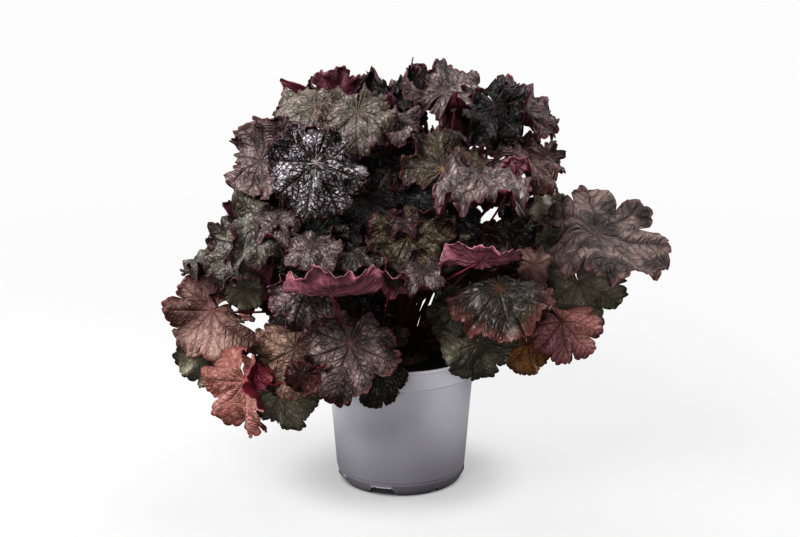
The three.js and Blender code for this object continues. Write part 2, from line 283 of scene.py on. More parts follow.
# ---- Meshes ----
@dataclass
class Shell:
    """One closed surface as arrays, ready to be joined with others into a piece.

    Attributes:
        points: positions.
        faces: corner indices, three or four to a row, with -1 as a missing fourth.
        slots: material index of each face.
        lobe_uv: for each face corner, the place along and across its lobe's midvein.
        blade_uv: for each face corner, its place in the flat blade.
        marks: for each point, its share of the way to the margin or along a stalk, its place
            across the blade, and a zero.
    """

    points: Array
    faces: Array
    slots: Array
    lobe_uv: Array
    blade_uv: Array
    marks: Array


def plain_shell(
    points: Array, faces: Array, uv: Array, slot: int = 0, share: Array | float = 0.0
) -> Shell:
    """A shell of one material whose two UV maps are the same.

    Args:
        points: positions.
        faces: corner indices, as a shell holds them.
        uv: place of each point in the UV maps.
        slot: material index.
        share: the first of its marks. The others are zero.

    Returns:
        The shell.
    """
    at_corners = uv[np.maximum(faces, 0)]
    marks = np.zeros_like(points)
    marks[:, 0] = share
    return Shell(points, faces, np.full(len(faces), slot), at_corners, at_corners, marks)


def build_piece(
    name: str, shells: list[Shell], materials: list[bpy.types.Material]
) -> bpy.types.Object:
    """Makes one object of several shells, which rides on the root.

    Args:
        name: name of the piece.
        shells: its closed surfaces.
        materials: materials that the shells' slots count into.

    Returns:
        The object, at the origin, smooth shaded.
    """
    points, slots, lobe_uv, blade_uv, marks = (
        np.concatenate([getattr(shell, part) for shell in shells])
        for part in ("points", "slots", "lobe_uv", "blade_uv", "marks")
    )
    starts = np.cumsum([0] + [len(shell.points) for shell in shells[:-1]])
    faces = np.concatenate(
        [np.where(shell.faces < 0, -1, shell.faces + start) for shell, start in zip(shells, starts)]
    )
    used = faces >= 0
    mesh = bpy.data.meshes.new(name)
    mesh.vertices.add(len(points))
    mesh.vertices.foreach_set("co", points.astype(np.float32).ravel())
    mesh.loops.add(int(used.sum()))
    mesh.loops.foreach_set("vertex_index", faces[used].astype(np.int32))
    mesh.polygons.add(len(faces))
    sizes = used.sum(1)
    mesh.polygons.foreach_set("loop_start", (np.cumsum(sizes) - sizes).astype(np.int32))
    mesh.polygons.foreach_set("material_index", slots.astype(np.int32))
    for layer, values in (("lobe", lobe_uv), ("blade", blade_uv)):
        uv = mesh.uv_layers.new(name=layer)
        uv.data.foreach_set("uv", values[used].astype(np.float32).ravel())
    attribute = mesh.attributes.new("marks", "FLOAT_VECTOR", "POINT")
    attribute.data.foreach_set("vector", marks.astype(np.float32).ravel())
    mesh.update(calc_edges=True)
    mesh.polygons.foreach_set("use_smooth", np.ones(len(faces), bool))
    for material in materials:
        mesh.materials.append(material)
    mesh.validate()
    piece = bpy.data.objects.new(name, mesh)
    bpy.context.scene.collection.objects.link(piece)
    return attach(piece, "root")


def stand_in(piece: bpy.types.Object, node: str) -> bpy.types.Object:
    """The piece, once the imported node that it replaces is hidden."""
    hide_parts(node)
    return piece


def grid_faces(rows: int, columns: int, closed: bool) -> Array:
    """Quads of a grid of points whose second index runs fastest.

    Args:
        rows: points along the first index.
        columns: points along the second index.
        closed: whether the last column joins the first.

    Returns:
        Four corner indices for each quad, the first index running first.
    """
    across = columns if closed else columns - 1
    row, column = np.meshgrid(np.arange(rows - 1), np.arange(across), indexing="ij")
    after = (column + 1) % columns
    corners = (
        row * columns + column,
        (row + 1) * columns + column,
        (row + 1) * columns + after,
        row * columns + after,
    )
    return np.stack(corners, -1).reshape(-1, 4)


def ring_faces(rings: int, sides: int) -> Array:
    """Faces of a stack of rings and of the caps from its ends to two poles.

    Args:
        rings: how many rings there are, each anticlockwise round the way that they are stacked.
        sides: points in each of them. After the last ring's come the near and the far pole.

    Returns:
        Corner indices that turn outwards, with -1 as a cap face's missing fourth.
    """
    walls = grid_faces(rings, sides, closed=True)[:, ::-1]
    first = np.arange(sides)
    after = (first + 1) % sides
    last = (rings - 1) * sides
    pole, missing = np.full(sides, rings * sides), np.full(sides, -1)
    near = np.stack([pole, after, first, missing], -1)
    far = np.stack([pole + 1, last + first, last + after, missing], -1)
    return np.concatenate([walls, near, far])


def tube(course: Array, radii: Array, sides: int) -> tuple[Array, Array, Array]:
    """A round tube with closed ends round a course of points.

    Each ring is centre + radius * (cos t * across + sin t * upward), where across is square to
    the plane of the course and upward is square to both across and the course.

    Args:
        course: centre points.
        radii: a radius for each of them.
        sides: points in each ring.

    Returns:
        The points, the faces, and for each point its share of the length and of the turn.
    """
    along = unit(np.gradient(course, axis=0))
    across = unit(np.cross(course[-1] - course[0], UP))
    upward = unit(np.cross(along, across))
    across = np.cross(upward, along)
    turn = np.linspace(0, 2 * np.pi, sides, endpoint=False)[:, None]
    ring = np.cos(turn) * across[:, None] + np.sin(turn) * upward[:, None]
    points = (course[:, None] + radii[:, None, None] * ring).reshape(-1, 3)
    rings = len(course)
    share = np.repeat(np.linspace(0, 1, rings), sides)
    uv = np.column_stack([share, np.tile(turn[:, 0] / (2 * np.pi), rings)])
    return (
        np.concatenate([points, course[[0, -1]]]),
        ring_faces(rings, sides),
        np.concatenate([uv, [[0.0, 0.5], [1.0, 0.5]]]),
    )


# ---- Leaf finishes ----
@dataclass(frozen=True)
class LeafFinish:
    """Colours and gloss of one kind of leaf. Colours are sRGB in steps of 255.

    Attributes:
        name: its own name.
        slot: material slot that it belongs to; not used.
        field: main colour of the upper side.
        second: colour of its larger patches.
        silver_and_highlight: pale silvery colour on the quilting's tops: partly the leaf's own
            overlay, partly painted highlight on its glossy bubbles.
        vein: colour of the midveins.
        furrow_and_shade: colour of the net between the quilting: partly its dark veinlets, partly
            painted shade.
        hub: colour that spreads along the veins from the joint.
        rim: colour of the margin.
        under: colour of the underside.
        silver_and_highlight_weight: how strongly the bloom shows, 0 to 1.
        split: how far the second colour gathers on one side of the blade, -1 to 1.
        hub_reach: how far the hub colour spreads, as a share of the blade.
        rim_width: width of the rim colour, as a share of the way to the joint.
        roughness: roughness of the upper side.
        coat: weight of its clear coat.
        relief: height of the quilting.
        net: how strongly the furrow colour shows.
        cells: cells of the quilting across half a blade.
    """

    name: str
    slot: str
    field: Tint
    second: Tint
    silver_and_highlight: Tint
    vein: Tint
    furrow_and_shade: Tint
    hub: Tint
    rim: Tint
    under: Tint
    silver_and_highlight_weight: float = 0.6
    split: float = 0.0
    hub_reach: float = 0.2
    rim_width: float = 0.05
    roughness: float = 0.4
    coat: float = 0.15
    relief: float = 0.8 * MM
    net: float = 0.2
    cells: float = 9.5

    def shade(self, part: str) -> Colour:
        """Linear colour of one of its parts."""
        return srgb(*getattr(self, part))

    def patches(self, graph: Graph, veins: "Veins") -> Wire:
        """Where the second colour lies: clouds or one side of the blade, and beside the midveins.

        Args:
            graph: graph that the mask is added to.
            veins: the blade's vein masks in it.

        Returns:
            A mask, 1 where the second colour covers the main one.
        """
        clouds = graph.noise(veins.blade, 2.2, 2.0).ease(0.4, 0.62)
        gathered = (veins.side * math.copysign(1, self.split or 1)).ease(-0.1, 0.2)
        patches = clouds * (1 - abs(self.split)) + gathered * abs(self.split)
        beside = 1 - veins.across.ease(0.01, 0.15)
        return patches.larger(beside * (1 - veins.margin * 0.5) * 0.8)

    def upper_side(self) -> bpy.types.Material:
        """Upper side: net veins, silvery quilting with painted highlight and shade, a tinted rim.

        Returns:
            The material.
        """
        graph = Graph(f"{self.name}_upper")
        veins = Veins(graph, self.cells)
        patches = self.patches(graph, veins)
        mottle = graph.noise(veins.blade, 3.6, 4.0, 0.6)
        colour = graph.mix(patches, self.shade("field"), self.shade("second"))
        # Pale silvery tops of the quilting: partly the leaf's own overlay, partly painted highlight.
        silver_and_highlight = (veins.quilt.ease(0.1, 0.75) * 0.6 + 0.4) * mottle.ease(0.32, 0.62)
        silver_and_highlight = silver_and_highlight * (1 - veins.margin.ease(0.75, 1.0) * 0.8) * (1 - patches * 0.6)
        silver_and_highlight = silver_and_highlight * (0.3 + veins.reach.ease(0.1, 0.45) * 0.7)
        near = 1 - veins.reach.ease(0.02, self.hub_reach)
        ragged = veins.margin + (mottle - 0.5) * (self.rim_width * 1.5)
        for part, cover in (
            ("silver_and_highlight", silver_and_highlight * self.silver_and_highlight_weight),
            # Dark net between the quilting: partly its veinlets, partly painted shade in the creases.
            ("furrow_and_shade", (1 - veins.quilt.ease(0.0, 0.45)) * self.net),
            ("vein", veins.branch * 0.3),
            ("vein", veins.midvein * 0.5),
            ("hub", near * (veins.midvein.larger(veins.branch) * 0.5 + near**3.0 * 0.3)),
            ("rim", ragged.ease(1 - self.rim_width * 1.6, 1.0) * 0.8),
        ):
            colour = graph.mix(cover, colour, self.shade(part))
        height = veins.quilt - veins.branch * 0.4 - veins.midvein * 0.4
        height = height + veins.net * 0.12 + graph.noise(veins.blade, 26.0, 3.0) * 0.25
        return graph.finish(
            Base_Color=colour,
            Roughness=self.roughness + (mottle - 0.5) * 0.3 + (1 - veins.quilt) * 0.12,
            Specular_IOR_Level=0.4,
            Coat_Weight=self.coat,
            Coat_Roughness=0.2,
            Normal=graph.bump(height, 1.0, self.relief),
        )

    def under_side(self) -> bpy.types.Material:
        """Underside: matt, with paler raised veins.

        Returns:
            The material.
        """
        graph = Graph(f"{self.name}_under")
        veins = Veins(graph, self.cells)
        patches = graph.noise(veins.blade, 3.0, 3.0)
        under = self.shade("under")
        dark = tuple(0.4 * c for c in under)
        pale = tuple(min(1.0, 1.6 * c + 0.02) for c in under)
        colour = graph.mix(patches.ease(0.3, 0.7), under, dark)
        raised = veins.midvein.larger(veins.branch * 0.7).larger((1 - veins.quilt) * 0.4)
        colour = graph.mix(raised * 0.6, colour, pale)
        height = raised + graph.noise(veins.blade, 30.0, 2.0) * 0.25
        return graph.finish(
            Base_Color=colour,
            Roughness=0.5 + (patches - 0.5) * 0.2,
            Normal=graph.bump(height, 1.0, 0.5 * MM),
        )


class Veins:
    """Vein masks of a blade, worked out from its UV maps and its marks.

    The midvein is where the place across the lobe is near zero. Branches leave it as chevrons:
    along - slant * across, repeated at an even pace. The quilting rises between the edges of
    random cells, and a finer net of the same kind lies on it.
    """

    SLANT = 0.85
    PACE = 7.5
    WOBBLE = 0.1
    TAPER = 0.006
    MIDVEIN_EDGE = (0.004, 0.022)
    BRANCH_EDGE = (0.002, 0.016)
    NET_CELLS = 40.0
    CELL_WARP = (0.06, 0.06, 0.0)

    def __init__(self, graph: Graph, cells: float) -> None:
        """Adds the masks to a graph.

        Args:
            graph: graph of the material.
            cells: cells of the quilting across half a blade.
        """
        lobe = graph.node("ShaderNodeUVMap", {"uv_map": "lobe"})
        self.blade = graph.node("ShaderNodeUVMap", {"uv_map": "blade"})
        marks = graph.marks()
        self.margin, self.side = marks.part(0), marks.part(1)
        along, across = lobe.part(0), abs(lobe.part(1))
        self.across = across
        self.reach = (along * along + across * across) ** 0.5
        clear = self.reach.ease(0.1, 0.2)
        wobble = (graph.noise(self.blade, 5.0, 2.0) - 0.5) * self.WOBBLE
        self.midvein = 1 - (across + self.reach * self.TAPER).ease(*self.MIDVEIN_EDGE)
        chevron = (along - across * self.SLANT + wobble) * self.PACE
        branch = abs((chevron + 0.5).fraction() - 0.5) * (1 / self.PACE)
        self.branch = (1 - branch.ease(*self.BRANCH_EDGE)) * clear
        warp = graph.node("ShaderNodeTexNoise", None, {"Vector": self.blade, "Scale": 9.0}, "Color")
        settings, inputs = {"operation": "MULTIPLY_ADD"}, {0: warp, 1: self.CELL_WARP, 2: self.blade}
        bent = graph.node("ShaderNodeVectorMath", settings, inputs)
        low = (branch.ease(0.0, 0.03) * clear).larger(1 - clear)
        self.quilt = graph.cell_edges(bent, cells).ease(0.0, 0.2) * low * across.ease(0.0, 0.035)
        self.net = graph.cell_edges(self.blade, self.NET_CELLS).ease(0.0, 0.2)


GUNMETAL = LeafFinish(
    name="gunmetal", slot="leaf_black", field=(12, 9, 10), second=(6, 4, 4), silver_and_highlight=(212, 200, 207),
    vein=(72, 44, 40), furrow_and_shade=(5, 3, 3), hub=(58, 25, 22), rim=(61, 24, 34), under=(67, 23, 36),
    silver_and_highlight_weight=1.0, roughness=0.24, coat=0.4, relief=2.0 * MM, net=0.8, cells=14.0,
)
BLACK = LeafFinish(
    name="black", slot="leaf_black", field=(16, 11, 12), second=(10, 7, 6), silver_and_highlight=(88, 78, 81),
    vein=(24, 13, 13), furrow_and_shade=(4, 2, 2), hub=(56, 29, 26), rim=(61, 24, 34), under=(61, 21, 34),
    silver_and_highlight_weight=0.4, roughness=0.44, coat=0.12, relief=1.2 * MM,
)
INK = LeafFinish(
    name="ink", slot="leaf_black", field=(13, 11, 11), second=(8, 8, 7), silver_and_highlight=(63, 60, 62),
    vein=(13, 9, 9), furrow_and_shade=(4, 3, 3), hub=(32, 19, 17), rim=(43, 20, 26), under=(54, 20, 30),
    silver_and_highlight_weight=0.3, roughness=0.46, coat=0.1,
)
TAUPE = LeafFinish(
    name="taupe", slot="leaf_taupe", field=(74, 59, 57), second=(46, 35, 33),
    silver_and_highlight=(166, 149, 144), vein=(43, 27, 27), furrow_and_shade=(26, 18, 18), hub=(76, 44, 38),
    rim=(80, 33, 43), under=(80, 30, 46), silver_and_highlight_weight=0.7,
)
PEWTER = LeafFinish(
    name="pewter", slot="leaf_olive", field=(82, 71, 66), second=(70, 63, 50),
    silver_and_highlight=(158, 145, 138), vein=(42, 33, 29), furrow_and_shade=(27, 22, 18), hub=(74, 52, 42),
    rim=(77, 34, 42), under=(89, 30, 50), silver_and_highlight_weight=0.65, relief=0.9 * MM, net=0.14,
)
OLIVE = LeafFinish(
    name="olive", slot="leaf_olive", field=(56, 49, 40), second=(40, 37, 28),
    silver_and_highlight=(128, 122, 111), vein=(39, 30, 24), furrow_and_shade=(25, 20, 16), hub=(77, 59, 41),
    rim=(71, 35, 38), under=(78, 31, 43), silver_and_highlight_weight=0.7,
)
GOLDEN = LeafFinish(
    name="golden", slot="leaf_olive", field=(64, 52, 41), second=(30, 22, 16),
    silver_and_highlight=(118, 106, 89), vein=(100, 77, 47), furrow_and_shade=(23, 17, 12), hub=(115, 89, 54),
    rim=(79, 39, 38), under=(78, 34, 42), silver_and_highlight_weight=0.55,
)
# Main and second colours lightened past the leaf's own golden brown: painted light, as it lies in
# shade.
AMBER_WITH_PAINTED_LIGHT = LeafFinish(
    name="amber_with_painted_light", slot="leaf_golden", field=(186, 138, 94), second=(140, 100, 64),
    silver_and_highlight=(135, 109, 74), vein=(43, 28, 17), furrow_and_shade=(43, 28, 17), hub=(89, 62, 39),
    rim=(75, 44, 33), under=(85, 50, 42), silver_and_highlight_weight=0.3, roughness=0.5, coat=0.0,
)
BRONZE = LeafFinish(
    name="bronze", slot="leaf_bronze", field=(88, 64, 58), second=(57, 35, 31),
    silver_and_highlight=(136, 111, 107), vein=(45, 24, 22), furrow_and_shade=(37, 22, 20), hub=(92, 49, 37),
    rim=(75, 34, 38), under=(76, 29, 41), silver_and_highlight_weight=0.5,
)
# Its dark second colour gathers on one half: partly the leaf's own red-brown, partly painted shade of
# the half folded away from the light.
COPPER = LeafFinish(
    name="copper", slot="leaf_bronze", field=(140, 114, 106), second=(68, 40, 37),
    silver_and_highlight=(170, 144, 136), vein=(98, 61, 53), furrow_and_shade=(74, 48, 42), hub=(86, 42, 38),
    rim=(99, 52, 48), under=(104, 40, 52), silver_and_highlight_weight=0.3, split=-0.85, roughness=0.48, coat=0.0,
    relief=0.6 * MM, net=0.18,
)
FAWN = LeafFinish(
    name="fawn", slot="leaf_bronze", field=(144, 117, 105), second=(69, 53, 44),
    silver_and_highlight=(171, 145, 128), vein=(59, 39, 32), furrow_and_shade=(55, 39, 33), hub=(66, 36, 30),
    rim=(86, 45, 42), under=(78, 31, 40), silver_and_highlight_weight=0.35, roughness=0.46, coat=0.0, relief=0.7 * MM,
    net=0.15,
)
TERRACOTTA = LeafFinish(
    name="terracotta", slot="leaf_salmon", field=(136, 90, 82), second=(112, 72, 65),
    silver_and_highlight=(166, 130, 123), vein=(111, 65, 55), furrow_and_shade=(91, 55, 47), hub=(130, 71, 54),
    rim=(103, 52, 48), under=(108, 32, 48), silver_and_highlight_weight=0.45, roughness=0.5, coat=0.0, relief=0.6 * MM,
    net=0.15,
)
ORCHID = LeafFinish(
    name="orchid", slot="leaf_salmon", field=(156, 106, 110), second=(146, 102, 92),
    silver_and_highlight=(182, 138, 144), vein=(54, 26, 31), furrow_and_shade=(54, 30, 31), hub=(78, 38, 35),
    rim=(109, 52, 59), under=(105, 48, 63), silver_and_highlight_weight=0.45, split=0.6, roughness=0.48, coat=0.0,
    relief=0.6 * MM, net=0.15,
)
ROSEWOOD = LeafFinish(
    name="rosewood", slot="leaf_bronze", field=(112, 96, 90), second=(40, 32, 29),
    silver_and_highlight=(116, 95, 92), vein=(34, 24, 24), furrow_and_shade=(37, 26, 26), hub=(56, 40, 38),
    rim=(84, 54, 52), under=(86, 44, 47), silver_and_highlight_weight=0.4, relief=1.0 * MM, coat=0.0, roughness=0.6,
    net=0.28,
)
ROSE_ASH = replace(
    ROSEWOOD, name="rose_ash", field=(116, 99, 96), second=(62, 49, 46), silver_and_highlight=(158, 138, 135),
    silver_and_highlight_weight=0.6,
)
MAUVE = LeafFinish(
    name="mauve", slot="leaf_taupe", field=(96, 79, 75), second=(50, 39, 37),
    silver_and_highlight=(154, 140, 138), vein=(49, 31, 30), furrow_and_shade=(32, 23, 21), hub=(76, 40, 34),
    rim=(98, 59, 57), under=(97, 45, 54), silver_and_highlight_weight=0.5, hub_reach=0.17, coat=0.0, roughness=0.5,
    relief=0.7 * MM,
)
GILT = LeafFinish(
    name="gilt", slot="leaf_taupe", field=(34, 27, 22), second=(28, 25, 18), silver_and_highlight=(112, 102, 86),
    vein=(60, 46, 32), furrow_and_shade=(15, 10, 7), hub=(88, 58, 40), rim=(102, 64, 60),
    under=(103, 49, 49), silver_and_highlight_weight=0.3, hub_reach=0.3, rim_width=0.2, roughness=0.42,
    relief=0.55 * MM, net=0.3,
)
SAGE = LeafFinish(
    name="sage", slot="leaf_sage", field=(90, 86, 71), second=(62, 58, 46), silver_and_highlight=(128, 124, 107),
    vein=(104, 98, 78), furrow_and_shade=(52, 52, 39), hub=(62, 52, 38), rim=(61, 45, 37),
    under=(79, 57, 54), silver_and_highlight_weight=0.4, roughness=0.44, relief=0.6 * MM, net=0.12,
)
# A lighter copy of SAGE, for sage leaves that lie in shade: painted light.
SAGE_PAINTED_LIT = replace(
    SAGE, name="sage_painted_lit", field=(132, 126, 108), second=(106, 101, 85), silver_and_highlight=(158, 153, 136),
    under=(110, 104, 90),
)
MAROON = LeafFinish(
    name="maroon", slot="leaf_maroon", field=(46, 26, 26), second=(20, 9, 9), silver_and_highlight=(76, 54, 55),
    vein=(20, 8, 9), furrow_and_shade=(9, 3, 4), hub=(50, 22, 20), rim=(80, 30, 38), under=(60, 26, 32),
    silver_and_highlight_weight=0.3,
)
RUSSET = replace(
    MAROON, name="russet", field=(72, 26, 21), second=(50, 15, 13), silver_and_highlight=(120, 70, 60),
    rim=(110, 56, 48), silver_and_highlight_weight=0.15,
)
PLUM = LeafFinish(
    name="plum", slot="leaf_plum", field=(88, 72, 72), second=(52, 38, 36), silver_and_highlight=(160, 142, 142),
    vein=(38, 25, 25), furrow_and_shade=(30, 21, 19), hub=(92, 55, 43), rim=(99, 41, 55),
    under=(148, 94, 106), silver_and_highlight_weight=0.7,
)
WINE = LeafFinish(
    name="wine", slot="leaf_maroon", field=(74, 46, 48), second=(30, 17, 17), silver_and_highlight=(116, 86, 90),
    vein=(26, 11, 13), furrow_and_shade=(15, 7, 8), hub=(69, 28, 31), rim=(88, 36, 48), under=(82, 36, 48),
    silver_and_highlight_weight=0.5,
)

TINT_FINISHES = {
    "leaf_black": BLACK,
    "leaf_taupe": TAUPE,
    "leaf_bronze": BRONZE,
    "leaf_salmon": TERRACOTTA,
    "leaf_olive": OLIVE,
    "leaf_sage": SAGE,
    "leaf_golden": AMBER_WITH_PAINTED_LIGHT,
    "leaf_maroon": MAROON,
    "leaf_plum": PLUM,
}


# ---- One blade ----
@dataclass(frozen=True)
class Pose:
    """Where a blade's joint is and how the blade lies."""

    joint: Array
    midrib: Array
    side: Array
    size: float

    @classmethod
    def facing(cls, joint: Array, faces: float, lift: float, turn: float, size: float) -> "Pose":
        """A pose from where the upper side faces.

        Args:
            joint: place of the joint.
            faces: bearing that the upper side faces, in degrees.
            lift: how far it is lifted to the sky.
            turn: the tip's turn from straight downhill.
            size: length of the blade from its joint to its tip.

        Returns:
            The pose.
        """
        faces, lift, turn = np.radians([faces, lift, turn])
        heading = np.array([np.cos(faces), np.sin(faces), 0.0])
        normal = heading * np.cos(lift) + UP * np.sin(lift)
        downhill = heading * np.sin(lift) - UP * np.cos(lift)
        midrib = downhill * np.cos(turn) + np.cross(UP, heading) * np.sin(turn)
        return cls(joint, midrib, np.cross(normal, midrib), size)

    @property
    def normal(self) -> Array:
        """Direction that the upper side faces."""
        return unit(np.cross(self.midrib, self.side))

    def turned(self, nod: float, roll: float, scale: float) -> "Pose":
        """The same pose nodded about its side, rolled about its midrib and scaled.

        Args:
            nod: how far the tip turns down, in degrees.
            roll: how far the side turns up, in degrees.
            scale: factor on the size.

        Returns:
            The new pose, with the same joint.
        """
        nod, roll = math.radians(nod), math.radians(roll)
        midrib = math.cos(nod) * self.midrib - math.sin(nod) * self.normal
        side = math.cos(roll) * self.side + math.sin(roll) * unit(np.cross(midrib, self.side))
        return Pose(self.joint, midrib, side, self.size * scale)


@dataclass(frozen=True)
class Form:
    """Broad shape of a blade: each value is a height at the margin in shares of its size."""

    cup: float
    fold: float
    droop: float
    wave_sine: float
    wave_cosine: float

    RIDGE = 0.12

    @classmethod
    def basis(cls, x: Array, y: Array, rho: Array, angle: Array) -> Array:
        """The shapes that the five values scale, stacked on the last axis.

        Args:
            x: place along the midrib, as a share of the size.
            y: place across it.
            rho: share of the way to the margin.
            angle: heading of the spoke.

        Returns:
            Heights of a bowl, a rounded fold along the midrib, a droop of the tip, and a threefold
            wave in two phases.
        """
        shapes = (
            x * x + y * y,
            np.hypot(y, cls.RIDGE) - cls.RIDGE,
            np.maximum(x, 0) ** 2,
            rho**2 * np.sin(3 * angle),
            rho**2 * np.cos(3 * angle),
        )
        return np.stack(shapes, -1)

    def height(self, x: Array, y: Array, rho: Array, angle: Array) -> Array:
        """Height over the blade's plane at a place in it."""
        values = (self.cup, self.fold, self.droop, self.wave_sine, self.wave_cosine)
        return self.basis(x, y, rho, angle) @ np.array(values)


@dataclass(frozen=True)
class Curl:
    """A stretch of margin that rolls over.

    Attributes:
        at: its middle, in degrees round the joint from the tip.
        spread: half its width, in degrees.
        turn: how far it rolls, in degrees: up if positive, down if negative.
        start: share of the way to the margin at which the roll starts.
    """

    at: float
    spread: float
    turn: float
    start: float = 0.6


@dataclass(frozen=True)
class Habit:
    """How one leaf differs from the next: values are shares of the blade's size.

    Attributes:
        finish: its colours, or none for those of its material slot.
        pucker: height of the folds between its veins.
        ruffle: height of the waves along its margin.
        crumple: height of the broad random waves.
        lobing: depth of the notches between its lobes, 1 for the usual.
        scale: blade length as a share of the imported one.
        nod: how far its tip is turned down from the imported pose, in degrees.
        roll: how far its side is turned up about the midrib, in degrees.
        curls: stretches of margin that roll over.
    """

    finish: LeafFinish | None = None
    pucker: float = 0.022
    ruffle: float = 0.12
    crumple: float = 0.1
    lobing: float = 0.45
    scale: float = 1.0
    nod: float = 0.0
    roll: float = 0.0
    curls: tuple[Curl, ...] = ()


class Detail(Enum):
    """Samples on each tooth of the margin, and rings from the joint to the margin."""

    HERO = (4, 20)
    FINE = (4, 16)
    PLAIN = (3, 12)
    SMALL = (3, 9)


class Margin:
    """The toothed outline of one blade: an angle, a radius and a lobe for each column.

    Within a lobe, s runs from -1 to 1 and the radius is notch + (tip - notch) * (1 - |s|^3.4)^0.55.
    Each tooth adds tooth * size * (0.6 + 0.4 |s|) * ((4 u (1 - u))^0.55 - 0.35), where u runs from 0
    to 1 along it and leans away from the lobe's tip.
    """

    EDGES = (-176, -150, -106, -62, -21, 21, 62, 106, 150, 176)
    NOTCHES = (0.5, 0.58, 0.65, 0.71, 0.75, 0.75, 0.71, 0.65, 0.58, 0.5)
    TIPS = (0.64, 0.82, 0.9, 0.95, 1.0, 0.95, 0.9, 0.82, 0.64)
    TEETH = (2, 4, 5, 5, 5, 5, 5, 4, 2)
    TOOTH = 0.055
    TOOTH_SIZES = (0.6, 1.3)
    TOOTH_LEAN = 0.8
    SHOULDER = 3.4
    ROUND = 0.55
    EDGE_JITTER = 2.5
    LENGTH_JITTER = 0.05
    BEND = math.radians(9)

    def __init__(self, per_tooth: int, lobing: float, rng: np.random.Generator) -> None:
        """Draws the outline with its own small irregularities.

        Args:
            per_tooth: samples on each tooth.
            lobing: depth of the notches, 0 for an outline without lobes.
            rng: source of the irregularities.
        """
        edges = np.radians(np.array(self.EDGES) + rng.normal(0, self.EDGE_JITTER, len(self.EDGES)))
        tips = np.array(self.TIPS) * rng.normal(1, self.LENGTH_JITTER, len(self.TIPS))
        notches = np.array(self.NOTCHES)
        unlobed = np.interp(self.EDGES, (self.EDGES[0], 0, self.EDGES[-1]), (0.6, 1.0, 0.6))
        notches = unlobed - lobing * (unlobed - notches)
        notches = notches * rng.normal(1, self.LENGTH_JITTER, len(notches))
        angles, radii, across, lobes = [], [], [], []
        for k, teeth in enumerate(self.TEETH):
            steps = np.arange(teeth * per_tooth + (k == len(self.TEETH) - 1))
            share = steps / (teeth * per_tooth)
            s = 2 * share - 1
            place = (share * teeth) % 1.0
            lean = np.where(s < 0, place**self.TOOTH_LEAN, 1 - (1 - place) ** self.TOOTH_LEAN)
            tooth = (4 * lean * (1 - lean)).clip(0) ** self.ROUND - 0.35
            notch = notches[k] + share * (notches[k + 1] - notches[k])
            arch = (1 - np.abs(s) ** self.SHOULDER) ** self.ROUND
            sizes = rng.uniform(*self.TOOTH_SIZES, teeth + 1)[(share * teeth).astype(int)]
            angles.append(edges[k] + share * (edges[k + 1] - edges[k]))
            teeth_at = self.TOOTH * sizes * tooth * (0.6 + 0.4 * np.abs(s))
            radii.append(notch + (tips[k] - notch) * arch + teeth_at)
            across.append(s)
            lobes.append(np.full(len(s), k))
        self.angle = np.concatenate(angles)
        self.radius = np.concatenate(radii)
        self.across = np.concatenate(across)
        self.lobe = np.concatenate(lobes)
        self.axes = (edges[:-1] + edges[1:]) / 2
        self.bends = rng.normal(0, self.BEND, len(self.axes))
        smooth = 0.92 - 0.3 * (1 - np.cos(self.angle)) / 2
        self.soft = np.minimum(smooth, self.radius + 0.1)

    def lobe_place(self, x: Array, y: Array, lobe: Array) -> tuple[Array, Array]:
        """Places along and across a lobe's midvein, which bends by bend * r^2 radians at r.

        Args:
            x: place along the blade's midrib.
            y: place across it.
            lobe: number of the lobe.

        Returns:
            The place along the lobe's midvein and the place across it.
        """
        radius, angle = np.hypot(x, y), np.arctan2(y, x)
        away = angle - self.axes[lobe] - self.bends[lobe] * radius**2
        return radius * np.cos(away), radius * np.sin(away)


